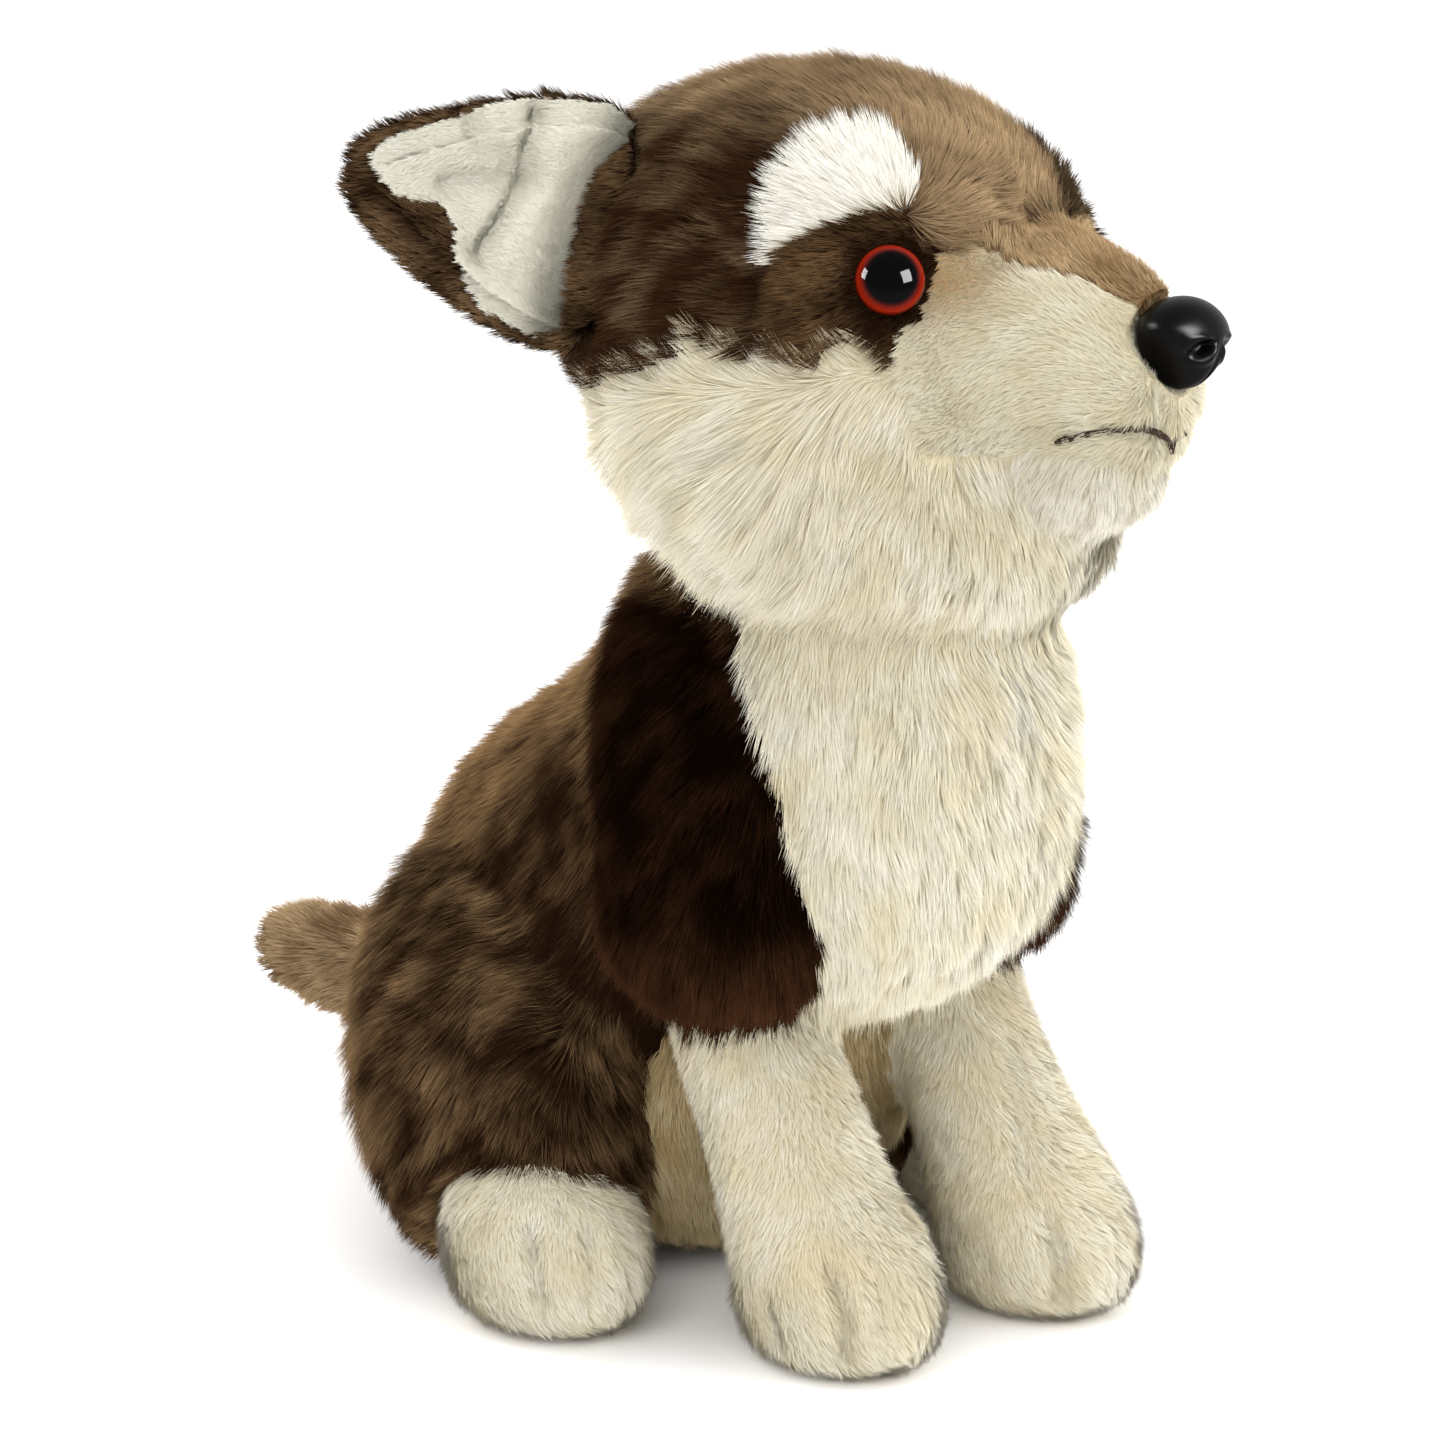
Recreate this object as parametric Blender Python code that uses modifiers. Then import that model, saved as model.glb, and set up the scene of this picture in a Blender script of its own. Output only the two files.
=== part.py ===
"""A seated plush wolf cub, about 29 cm tall: its stuffed members, fabric panels and safety parts.

Metres, +Z up. The cub looks along -Y, its own right side is -X, and it sits on Z = 0.
While it is modelled, Y = 0 lies between the two front paws. The last step centres its box on the origin.
"""

import math

import bmesh
import bpy
from mathutils import Matrix, Vector
from mathutils.bvhtree import BVHTree

# Clearances, cage fineness and how far a cage's ends bulge, as a share of its end section
SEAM_GAP = 0.0003
CAGE_SEGMENTS = 8
CAGE_CAP = 0.35
SMOOTH_LEVELS = 1
TURNED_STEPS = 16
BAR_SEGMENTS = 12
CREASE_SEGMENTS = 12
NOSTRIL_SEGMENTS = 10

# The middle of the head above the floor. The neck's ends follow it
HEAD_HEIGHT = 0.2255

# Torso: level sections, as height, distance behind the front paws, half width and half depth
TORSO_SECTIONS = (
    (0.003, 0.110, 0.042, 0.042),
    (0.018, 0.110, 0.052, 0.056),
    (0.045, 0.110, 0.057, 0.063),
    (0.072, 0.104, 0.058, 0.068),
    (0.098, 0.076, 0.057, 0.090),
    (0.122, 0.062, 0.056, 0.079),
    (0.146, 0.044, 0.053, 0.054),
    (HEAD_HEIGHT - 0.0605, 0.045, 0.046, 0.047),
    (HEAD_HEIGHT - 0.0455, 0.048, 0.038, 0.038),
)
BIB_SECTIONS = (
    (0.071, 0.028, 0.016, 0.010),
    (0.079, 0.021, 0.026, 0.019),
    (0.093, 0.013, 0.035, 0.028),
    (0.112, 0.010, 0.041, 0.034),
    (0.130, 0.010, 0.043, 0.034),
    (0.148, 0.013, 0.044, 0.035),
    (HEAD_HEIGHT - 0.0615, 0.018, 0.044, 0.036),
    (HEAD_HEIGHT - 0.0495, 0.024, 0.038, 0.032),
)
BELLY_SECTIONS = (
    (0.008, 0.074, 0.034, 0.018),
    (0.025, 0.066, 0.042, 0.024),
    (0.050, 0.057, 0.044, 0.024),
    (0.072, 0.048, 0.040, 0.022),
    (0.088, 0.040, 0.028, 0.014),
)

# Limbs: the same, with the distance out from the middle plane first of the two places
SLEEVE_SECTIONS = (
    (0.080, 0.037, 0.038, 0.021, 0.028),
    (0.092, 0.038, 0.037, 0.024, 0.033),
    (0.112, 0.036, 0.038, 0.025, 0.035),
    (0.136, 0.038, 0.041, 0.021, 0.034),
    (0.156, 0.037, 0.045, 0.016, 0.030),
    (HEAD_HEIGHT - 0.0555, 0.035, 0.050, 0.011, 0.022),
)
FRONT_LEG_SECTIONS = (
    (0.001, 0.030, 0.003, 0.021, 0.025),
    (0.010, 0.030, 0.002, 0.023, 0.029),
    (0.022, 0.030, 0.003, 0.024, 0.028),
    (0.033, 0.030, 0.010, 0.022, 0.025),
    (0.045, 0.030, 0.019, 0.020, 0.021),
    (0.060, 0.029, 0.029, 0.020, 0.020),
    (0.077, 0.029, 0.038, 0.020, 0.020),
    (0.092, 0.029, 0.042, 0.016, 0.016),
)
THIGH_SECTIONS = (
    (0.006, 0.055, 0.089, 0.018, 0.026),
    (0.017, 0.056, 0.090, 0.026, 0.037),
    (0.036, 0.055, 0.096, 0.031, 0.045),
    (0.060, 0.050, 0.101, 0.031, 0.045),
    (0.082, 0.043, 0.106, 0.028, 0.042),
    (0.099, 0.035, 0.107, 0.021, 0.032),
)
HIND_PAW_SECTIONS = (
    (0.001, 0.065, 0.065, 0.020, 0.025),
    (0.011, 0.065, 0.064, 0.024, 0.029),
    (0.024, 0.065, 0.066, 0.024, 0.028),
    (0.035, 0.064, 0.071, 0.020, 0.024),
    (0.042, 0.063, 0.075, 0.012, 0.015),
)

# Toe creases: a thin lens pressed into the front of each paw, either side of its middle toe
TOE_TURN = math.radians(26)
TOE_FAN = math.radians(15)
TOE_CREASE_DEPTH = 0.0035
TOE_CREASE_RADIUS = 0.011
TOE_CREASE_HALF_WIDTH = 0.0009
TOE_CREASE_HEIGHT = 0.013

# Tail: upright sections along it, as distance behind the paws, middle offset, height, two half sizes
TAIL_SECTIONS = (
    (0.140, -0.002, 0.042, 0.012, 0.012),
    (0.165, -0.005, 0.040, 0.014, 0.014),
    (0.187, -0.010, 0.040, 0.0145, 0.0145),
    (0.208, -0.015, 0.041, 0.014, 0.014),
    (0.226, -0.019, 0.043, 0.011, 0.011),
)

# Head: its centre behind the paws, its turn to the left, its tilt, and level sections round its centre
HEAD_BACK = 0.051
HEAD_TURN = math.radians(17)
HEAD_ROLL = math.radians(10)
HEAD_SECTIONS = (
    (-0.065, -0.029, 0.028, 0.026),
    (-0.057, -0.029, 0.047, 0.044),
    (-0.043, -0.026, 0.061, 0.058),
    (-0.025, -0.018, 0.066, 0.064),
    (-0.004, -0.008, 0.066, 0.063),
    (0.017, -0.006, 0.064, 0.063),
    (0.036, -0.005, 0.059, 0.059),
    (0.050, -0.005, 0.048, 0.049),
    (0.058, -0.005, 0.031, 0.032),
)
CHEEK_SEAM_HEIGHT = -0.007
CHEEK_SEAM_TILT = math.radians(13)
NAPE_HALF_WIDTH = 0.024
NAPE_FRONT = 0.028

# Muzzle, bridge strip and chin: upright sections along the snout, as forward, height, two half sizes
MUZZLE_SECTIONS = (
    (0.034, 0.000, 0.040, 0.028),
    (0.050, 0.002, 0.038, 0.028),
    (0.066, 0.003, 0.031, 0.026),
    (0.082, 0.001, 0.026, 0.023),
    (0.097, -0.003, 0.020, 0.017),
)
BRIDGE_SECTIONS = (
    (0.054, 0.031, 0.011, 0.006),
    (0.064, 0.029, 0.011, 0.006),
    (0.076, 0.025, 0.010, 0.006),
    (0.088, 0.021, 0.009, 0.006),
    (0.096, 0.017, 0.006, 0.005),
)
CHIN_SECTIONS = (
    (0.040, -0.022, 0.030, 0.016),
    (0.058, -0.024, 0.029, 0.018),
    (0.076, -0.023, 0.025, 0.016),
    (0.092, -0.020, 0.017, 0.010),
)

# Safety nose and safety eyes, each a dome with a shank and a push-on washer inside the head
NOSE_HALF_WIDTH = 0.0130
NOSE_HALF_HEIGHT = 0.0110
NOSE_HALF_DEPTH = 0.0095
NOSE_SEGMENTS = 16
NOSE_FORWARD = 0.098
NOSE_RISE = 0.012
NOSE_TAPER = 0.30
NOSE_WASHER_DEPTH = 0.015
NOSTRIL_RADIUS = 0.0024
NOSTRIL_STRETCH = (1.3, 0.8, 1.3)
NOSTRIL_PLACE = (0.0062, -0.001, 0.0082)
EYE_RADIUS = 0.0075
EYE_DOME = 0.0055
EYE_RIM = 0.0008
EYE_DOME_STEPS = 5
EYE_SIDE = 0.0455
EYE_FORWARD = 0.049
EYE_RISE = 0.020
SHANK_RADIUS = 0.0022
SHANK_LENGTH = 0.014
WASHER_RADIUS = 0.0075
WASHER_THICKNESS = 0.0016
WASHER_DEPTH = 0.0085

# Inlaid face patches: direction from the head's centre, as side, forward and up, then half sizes and depth
PATCH_DEPTH = 0.006
PATCH_OVERSHOOT = 0.014
PATCH_SEGMENTS = 16
EYE_PATCH_AIM = (0.0437, 0.042, 0.0175)
EYE_PATCH_HALF_WIDTH = 0.021
EYE_PATCH_HALF_HEIGHT = 0.0195
BROW_AIM = (0.036, 0.031, 0.043)
BROW_HALF_WIDTH = 0.018
BROW_HALF_HEIGHT = 0.012
BROW_ARCH = 0.006
BROW_DROOP = math.radians(15)

# Ears: a rounded triangle, its base on the side of the head
EAR_BASE = (0.050, -0.033, 0.022)
EAR_ALONG = (0.755, -0.60, 0.18)
EAR_ACROSS = (-0.27, 0.19, 0.94)
EAR_LENGTH = 0.055
EAR_BASE_WIDTH = 0.062
EAR_TIP_WIDTH = 0.018
EAR_FULLNESS = 1.7
EAR_CUP = 0.010
EAR_CUP_FADE = 0.5
EAR_BACK_THICKNESS = 0.0045
EAR_LINING_THICKNESS = 0.0025
EAR_LINING_INSET = 0.006
EAR_ROOT = 0.010
EAR_CUTS = 2

# Embroidered mouth line: how far back its arc is centred, its half angle and the drop of its corners
STITCH_RADIUS = 0.0009
MOUTH_RISE = -0.0145
MOUTH_CENTRE = 0.072
MOUTH_HALF_ANGLE = math.radians(72)
MOUTH_CORNER_DROP = 0.001
MOUTH_STEPS = 6

# Half the side of a cutter that must reach past the whole model
REACH = 0.4

RIGHT, LEFT = -1, 1
SIDES = ((RIGHT, "right"), (LEFT, "left"))


def srgb(red, green, blue):
    """A colour read by eye from the photograph, as Blender's linear values."""
    return tuple(((value / 255 + 0.055) / 1.055) ** 2.4 for value in (red, green, blue)) + (1.0,)


BROWN = ("brown plush", srgb(120, 95, 72), 0.9)
CHOCOLATE = ("dark brown plush", srgb(55, 34, 25), 0.9)
CREAM = ("cream plush", srgb(238, 232, 208), 0.9)
WHITE = ("white plush", srgb(248, 245, 238), 0.9)
LINING = ("ear lining", srgb(225, 225, 205), 0.85)
BLACK = ("black moulded plastic", srgb(25, 25, 27), 0.15)
CLEAR = ("clear washer plastic", srgb(225, 225, 225), 0.4)
THREAD = ("dark embroidery thread", srgb(60, 45, 45), 0.7)


def clear_scene():
    for obj in list(bpy.data.objects):
        bpy.data.objects.remove(obj, do_unlink=True)


def collection(name):
    made = bpy.data.collections.new(name)
    bpy.context.scene.collection.children.link(made)
    return made


def material(kind):
    name, colour, roughness = kind
    found = bpy.data.materials.get(name)
    if found:
        return found
    made = bpy.data.materials.new(name)
    made.use_nodes = True
    shader = made.node_tree.nodes["Principled BSDF"]
    shader.inputs["Base Color"].default_value = colour
    shader.inputs["Roughness"].default_value = roughness
    shader.inputs["Metallic"].default_value = 0.0
    return made


def link(name, mesh, where, parent, kind=None):
    obj = bpy.data.objects.new(name, mesh)
    where.objects.link(obj)
    obj.parent = parent
    if kind:
        mesh.materials.append(material(kind))
    return obj


def helper(name, mesh, parent):
    """A cutter or a guide: outside the render, and so not a piece."""
    obj = link(name, mesh, cutters, parent)
    obj.hide_render = True
    obj.display_type = "WIRE"
    return obj


def mesh_of(bm, name):
    mesh = bpy.data.meshes.new(name)
    bm.to_mesh(mesh)
    bm.free()
    mesh.shade_smooth()
    return mesh


def stuffed_mesh(name, sections, tangent):
    """A closed cage: a ball whose rows are moved onto the sections (centre, half side, half front)."""
    tangent = Vector(tangent)
    side = Vector((1, 0, 0))
    front = tangent.cross(side)
    rows = len(sections) + 1
    # A subdivided ring shrinks inwards, so the cage is made this much wider than the form
    swell = 3 / (2 + math.cos(math.tau / CAGE_SEGMENTS))
    bm = bmesh.new()
    bmesh.ops.create_uvsphere(bm, u_segments=CAGE_SEGMENTS, v_segments=rows, radius=1)
    for vert in bm.verts:
        polar = math.acos(max(-1, min(1, -vert.co.z)))
        row = round(polar / math.pi * rows)
        if row in (0, rows):
            centre, half_side, half_front = sections[0 if row == 0 else -1]
            outward = -tangent if row == 0 else tangent
            vert.co = centre + outward * CAGE_CAP * (half_side + half_front) / 2
            continue
        centre, half_side, half_front = sections[row - 1]
        turn = math.atan2(vert.co.y, vert.co.x)
        vert.co = (
            centre
            + side * math.cos(turn) * half_side * swell
            + front * math.sin(turn) * half_front * swell
        )
    return mesh_of(bm, name)


def smooth(obj):
    """Rounds a cage. Its faces are split here, so a piece and its clearance fold along the same lines."""
    modifier = obj.modifiers.new("smooth", "SUBSURF")
    modifier.levels = SMOOTH_LEVELS
    modifier.render_levels = SMOOTH_LEVELS
    split = obj.modifiers.new("split", "TRIANGULATE")
    split.quad_method = "FIXED"
    return obj


def upright(sections, out=0, side=1):
    """Level sections as stations. With out=1 a section names its distance from the middle plane too."""
    stations = []
    for section in sections:
        across = section[1] * side if out else 0
        stations.append((Vector((across, section[-3], section[0])), section[-2], section[-1]))
    return stations


def forward(sections):
    return [(Vector((0, -row[0], row[1])), row[2], row[3]) for row in sections]


def boolean(obj, other, operation="DIFFERENCE"):
    """The exact solver empties a form that many soft neighbours cross, and the manifold one doesn't."""
    modifier = obj.modifiers.new(f"{operation.lower()} {other.name}", "BOOLEAN")
    modifier.operation = operation
    modifier.solver = "MANIFOLD"
    modifier.object = other


def evaluated_mesh(obj):
    bpy.context.view_layer.update()
    graph = bpy.context.evaluated_depsgraph_get()
    return bpy.data.meshes.new_from_object(obj.evaluated_get(graph))


def clearance(obj):
    """A guide that is the piece grown by the seam gap. Neighbours are cut with it."""
    name = f"{obj.name}_clearance"
    found = bpy.data.objects.get(name)
    if found:
        return found
    mesh = evaluated_mesh(obj)
    grown = helper(name, mesh, obj.parent)
    grown.matrix_local = obj.matrix_local
    modifier = grown.modifiers.new("grow", "DISPLACE")
    modifier.strength = SEAM_GAP
    modifier.mid_level = 0
    return grown


def make_room(obj, *neighbours):
    """Cuts each neighbour's clearance."""
    for neighbour in neighbours:
        boolean(obj, clearance(neighbour))


def box(name, low, high, parent, rotation=(0, 0, 0), pivot=(0, 0, 0)):
    low, high, pivot = Vector(low), Vector(high), Vector(pivot)
    bm = bmesh.new()
    bmesh.ops.create_cube(bm, size=1)
    size = Matrix.Diagonal((*(high - low), 1))
    bm.transform(Matrix.Translation((low + high) / 2 - pivot) @ size)
    obj = helper(name, mesh_of(bm, name), parent)
    obj.location = pivot
    obj.rotation_euler = rotation
    return obj


def piece(name, mesh, parent, kind):
    return link(name, mesh, wolf, parent, kind)


def soft_piece(name, stations, kind, parent, tangent=(0, 0, 1)):
    return smooth(piece(name, stuffed_mesh(name, stations, tangent), parent, kind))


def facing(direction):
    """The rotation that takes +Z to a direction and keeps +X level."""
    away = Vector(direction).normalized()
    level = Vector((0, 0, 1)).cross(away).normalized()
    up = away.cross(level)
    return Matrix((level, up, away)).transposed().to_4x4()


def turned(name, profile, parent, kind, place, ring=False):
    """A profile of (radius, height) points, top to bottom, turned round its Z. A ring's profile closes."""
    bm = bmesh.new()
    verts = [bm.verts.new((radius, 0, height)) for radius, height in profile]
    for first, second in zip(verts, verts[1:]):
        bm.edges.new((first, second))
    if ring:
        bm.edges.new((verts[-1], verts[0]))
    mesh = bpy.data.meshes.new(name)
    bm.to_mesh(mesh)
    bm.free()
    obj = piece(name, mesh, parent, kind)
    obj.matrix_local = place
    modifier = obj.modifiers.new("turn", "SCREW")
    modifier.steps = TURNED_STEPS
    modifier.render_steps = TURNED_STEPS
    modifier.use_merge_vertices = True
    modifier.merge_threshold = 0.00001
    return obj


def arc(radius, height, steps):
    """Half a dome's profile, from its top to its rim."""
    quarter = math.pi / 2
    turns = [quarter * step / steps for step in range(steps + 1)]
    return [(radius * math.sin(turn), height * math.cos(turn)) for turn in turns]


def make_body(root):
    pieces = {}
    pieces["torso"] = soft_piece("torso", upright(TORSO_SECTIONS), BROWN, root)
    pieces["chest_bib"] = soft_piece("chest_bib", upright(BIB_SECTIONS), CREAM, root)
    pieces["belly"] = soft_piece("belly", upright(BELLY_SECTIONS), CREAM, root)
    tail = [(Vector((row[1], row[0], row[2])), row[3], row[4]) for row in TAIL_SECTIONS]
    pieces["tail"] = soft_piece("tail", tail, BROWN, root, (0, 1, 0))
    limbs = (
        ("shoulder_sleeve", SLEEVE_SECTIONS, CHOCOLATE),
        ("front_leg", FRONT_LEG_SECTIONS, CREAM),
        ("thigh", THIGH_SECTIONS, BROWN),
        ("hind_paw", HIND_PAW_SECTIONS, CREAM),
    )
    for side, word in SIDES:
        for name, sections, kind in limbs:
            full = f"{word}_{name}"
            pieces[full] = soft_piece(full, upright(sections, 1, side), kind, root)
    return pieces


def crease_toes(paw, sections, side, root):
    """Two creases in the front of a paw, which part its toes. They look a little outwards."""
    _, out, back, half_side, half_front = max(sections, key=lambda row: row[4])
    middle = Matrix.Translation((out * side, back, TOE_CREASE_HEIGHT))
    for fan in (-TOE_FAN, TOE_FAN):
        bm = bmesh.new()
        bmesh.ops.create_uvsphere(bm, u_segments=CREASE_SEGMENTS, v_segments=8, radius=TOE_CREASE_RADIUS)
        bm.transform(Matrix.Diagonal((TOE_CREASE_HALF_WIDTH / TOE_CREASE_RADIUS, 1, 1, 1)))
        crease = helper(f"{paw.name}_crease", mesh_of(bm, "crease"), root)
        angle = TOE_TURN * side + fan
        paw_radius = 1 / math.hypot(math.sin(angle) / half_side, math.cos(angle) / half_front)
        forwards = paw_radius + TOE_CREASE_RADIUS - TOE_CREASE_DEPTH
        crease.matrix_local = middle @ Matrix.Rotation(angle, 4, "Z") @ Matrix.Translation((0, -forwards, 0))
        boolean(paw, crease)


def fit_body(pieces, head_form, floor):
    sleeves = [pieces[f"{word}_shoulder_sleeve"] for _, word in SIDES]
    legs = [pieces[f"{word}_front_leg"] for _, word in SIDES]
    thighs = [pieces[f"{word}_thigh"] for _, word in SIDES]
    paws = [pieces[f"{word}_hind_paw"] for _, word in SIDES]
    torso, bib, belly, tail = (pieces[name] for name in ("torso", "chest_bib", "belly", "tail"))
    for name in pieces:
        clearance(pieces[name])
    make_room(torso, bib, belly, tail, *sleeves, *legs, *thighs, *paws, head_form)
    make_room(belly, bib, *sleeves, *legs, *thighs, *paws)
    make_room(bib, head_form)
    for sleeve, leg, thigh, paw in zip(sleeves, legs, thighs, paws):
        make_room(sleeve, bib, leg, head_form)
        make_room(leg, bib)
        make_room(thigh, sleeve, leg, paw)
        make_room(paw, leg)
    for obj in (torso, belly, *legs, *thighs, *paws):
        boolean(obj, floor)
    for (side, _), leg, paw in zip(SIDES, legs, paws):
        crease_toes(leg, FRONT_LEG_SECTIONS, side, leg.parent)
        crease_toes(paw, HIND_PAW_SECTIONS, side, paw.parent)


def ruff_region(name, parent, grow):
    """All that lies under the cheek seam, except the brown nape behind."""
    pivot = (0, 0, CHEEK_SEAM_HEIGHT)
    top = CHEEK_SEAM_HEIGHT + grow
    low, high = (-REACH, -REACH, -REACH), (REACH, REACH, top)
    region = box(name, low, high, parent, (-CHEEK_SEAM_TILT, 0, 0), pivot)
    half = NAPE_HALF_WIDTH - grow
    nape = box(f"{name}_nape", (-half, NAPE_FRONT + grow, -REACH), (half, REACH, REACH), parent)
    boolean(region, nape)
    return region


def surface_place(tree, aim, side):
    """Where a line from the head's centre meets its surface, with +Z out along the surface normal."""
    direction = Vector((aim[0] * side, -aim[1], aim[2]))
    point, normal, _, _ = tree.ray_cast(direction.normalized() * REACH, -direction)
    return Matrix.Translation(point) @ facing(normal)


def patch_cutter(name, place, half_width, half_height, arch, grow, parent):
    """A rounded outline, arched by arch, that reaches PATCH_DEPTH into the head and out through its skin."""
    bm = bmesh.new()
    made = bmesh.ops.create_circle(bm, cap_ends=True, segments=PATCH_SEGMENTS, radius=1)
    for vert in made["verts"]:
        across, up = vert.co.x, vert.co.y
        vert.co = Vector((across * (half_width + grow), up * (half_height + grow) - arch * across**2, 0))
        vert.co.z = -PATCH_DEPTH - grow
    extruded = bmesh.ops.extrude_face_region(bm, geom=bm.faces[:])["geom"]
    outer = [item for item in extruded if isinstance(item, bmesh.types.BMVert)]
    bmesh.ops.translate(bm, vec=(0, 0, PATCH_DEPTH + PATCH_OVERSHOOT), verts=outer)
    bmesh.ops.recalc_face_normals(bm, faces=bm.faces)
    cutter = helper(name, mesh_of(bm, name), parent)
    cutter.matrix_local = place
    return cutter


def ear_mesh(name, side, width_inset, low, high):
    """The rounded triangle between two depths of the ear's thickness, cupped forwards."""
    along = Vector((EAR_ALONG[0] * side, -EAR_ALONG[1], EAR_ALONG[2])).normalized()
    across = Vector((EAR_ACROSS[0] * side, -EAR_ACROSS[1], EAR_ACROSS[2]))
    across = (across - along * across.dot(along)).normalized()
    out = along.cross(across) * side
    base = Vector((EAR_BASE[0] * side, -EAR_BASE[1], EAR_BASE[2]))
    bm = bmesh.new()
    bmesh.ops.create_cube(bm, size=2)
    bmesh.ops.subdivide_edges(bm, edges=bm.edges[:], cuts=EAR_CUTS, use_grid_fill=True)
    for vert in bm.verts:
        u, v, depth = -side * vert.co.x, (vert.co.y + 1) / 2, (vert.co.z + 1) / 2
        reach = EAR_LENGTH - width_inset
        width = EAR_BASE_WIDTH * (1 - v**EAR_FULLNESS) + EAR_TIP_WIDTH * v - 2 * width_inset
        bow = EAR_CUP * (1 - v * EAR_CUP_FADE) * u * u
        vert.co = (
            base
            + along * (v * (reach + EAR_ROOT) - EAR_ROOT)
            + across * u * width / 2
            + out * (bow + low + depth * (high - low))
        )
    return mesh_of(bm, name)


def make_head(head):
    """Every piece of the head, in the head's own frame."""
    form = smooth(helper("head_form", stuffed_mesh("head_form", upright(HEAD_SECTIONS), (0, 0, 1)), head))
    bpy.context.view_layer.update()
    graph = bpy.context.evaluated_depsgraph_get()
    tree = BVHTree.FromObject(form, graph)
    pieces = {"form": form}

    snout = (
        ("muzzle", MUZZLE_SECTIONS, CREAM),
        ("bridge_strip", BRIDGE_SECTIONS, BROWN),
        ("chin", CHIN_SECTIONS, CREAM),
    )
    for name, sections, kind in snout:
        pieces[name] = soft_piece(name, forward(sections), kind, head, (0, -1, 0))

    nose_place = Matrix.Translation((0, -NOSE_FORWARD, NOSE_RISE)) @ facing((0, -1, 0))
    pieces["nose"] = make_nose(head, nose_place)
    washer_place = nose_place @ Matrix.Translation((0, 0, -NOSE_WASHER_DEPTH))
    pieces["nose_washer"] = make_washer("nose_washer", head, washer_place)

    for side, word in SIDES:
        place = surface_place(tree, (EYE_SIDE, EYE_FORWARD, EYE_RISE), side)
        pieces[f"{word}_eye"] = make_eye(f"{word}_eye", head, place)
        pieces[f"{word}_eye_washer"] = make_washer(
            f"{word}_eye_washer", head, place @ Matrix.Translation((0, 0, -WASHER_DEPTH))
        )
        mesh = ear_mesh(f"{word}_ear_back", side, 0, 0, EAR_BACK_THICKNESS)
        pieces[f"{word}_ear_back"] = smooth(piece(f"{word}_ear_back", mesh, head, BROWN))
        low = EAR_BACK_THICKNESS + SEAM_GAP
        mesh = ear_mesh(f"{word}_ear_lining", side, EAR_LINING_INSET, low, low + EAR_LINING_THICKNESS)
        pieces[f"{word}_ear_lining"] = smooth(piece(f"{word}_ear_lining", mesh, head, LINING))

    region = ruff_region("ruff_region", head, 0)
    region_grown = ruff_region("ruff_region_grown", head, SEAM_GAP)
    crown = form_piece("head_crown", form, head, BROWN)
    boolean(crown, region_grown)
    pieces["head_crown"] = crown
    skins = [crown]
    for side, word in SIDES:
        cheek = form_piece(f"{word}_cheek", form, head, CREAM)
        boolean(cheek, region, "INTERSECT")
        half = box(f"{word}_half", (-REACH, -REACH, -REACH), (REACH, REACH, REACH), head)
        half.location.x = side * (REACH + SEAM_GAP / 2)
        boolean(cheek, half, "INTERSECT")
        pieces[f"{word}_cheek"] = cheek
        skins.append(cheek)

        shapes = (
            ("eye_patch", EYE_PATCH_AIM, 0, (EYE_PATCH_HALF_WIDTH, EYE_PATCH_HALF_HEIGHT, 0), CHOCOLATE),
            ("brow_patch", BROW_AIM, BROW_DROOP, (BROW_HALF_WIDTH, BROW_HALF_HEIGHT, BROW_ARCH), WHITE),
        )
        cutters_of = {}
        for name, aim, droop, shape, kind in shapes:
            full = f"{word}_{name}"
            place = surface_place(tree, aim, side) @ Matrix.Rotation(-droop * side, 4, "Z")
            patch = form_piece(full, form, head, kind)
            exact = patch_cutter(f"{full}_cutter", place, *shape, 0, head)
            grown = patch_cutter(f"{full}_cutter_grown", place, *shape, SEAM_GAP, head)
            boolean(patch, exact, "INTERSECT")
            boolean(crown, grown)
            cutters_of[name] = grown
            pieces[full] = patch
            skins.append(patch)
        boolean(pieces[f"{word}_eye_patch"], cutters_of["brow_patch"])
        boolean(pieces[f"{word}_eye_patch"], region_grown)
    return pieces, skins


def form_piece(name, form, head, kind):
    obj = piece(name, form.data.copy(), head, kind)
    return smooth(obj)


def make_nose(head, place):
    """A rounded triangle, wider at the top, with two nostrils and a shank behind."""
    bm = bmesh.new()
    bmesh.ops.create_uvsphere(bm, u_segments=NOSE_SEGMENTS, v_segments=NOSE_SEGMENTS // 2, radius=1)
    for vert in bm.verts:
        taper = 1 - NOSE_TAPER * max(0, -vert.co.y)
        vert.co = vert.co * Vector((NOSE_HALF_WIDTH * taper, NOSE_HALF_HEIGHT, NOSE_HALF_DEPTH))
    nose = piece("nose", mesh_of(bm, "nose"), head, BLACK)
    nose.matrix_local = place
    for side, word in SIDES:
        bm = bmesh.new()
        bmesh.ops.create_uvsphere(bm, u_segments=NOSTRIL_SEGMENTS, v_segments=8, radius=NOSTRIL_RADIUS)
        bm.transform(Matrix.Diagonal((*NOSTRIL_STRETCH, 1)))
        nostril = helper(f"{word}_nostril_cutter", mesh_of(bm, "nostril"), head)
        spread, rise, depth = NOSTRIL_PLACE
        nostril.matrix_local = place @ Matrix.Translation((side * spread, rise, depth))
        boolean(nose, nostril)
    bm = bmesh.new()
    ends = {"radius1": SHANK_RADIUS, "radius2": SHANK_RADIUS}
    bmesh.ops.create_cone(bm, cap_ends=True, segments=BAR_SEGMENTS, depth=SHANK_LENGTH, **ends)
    shank = helper("nose_shank", mesh_of(bm, "nose_shank"), head)
    shank.matrix_local = place @ Matrix.Translation((0, 0, -(SHANK_LENGTH + NOSE_HALF_DEPTH) / 2))
    boolean(nose, shank, "UNION")
    return nose


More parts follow.
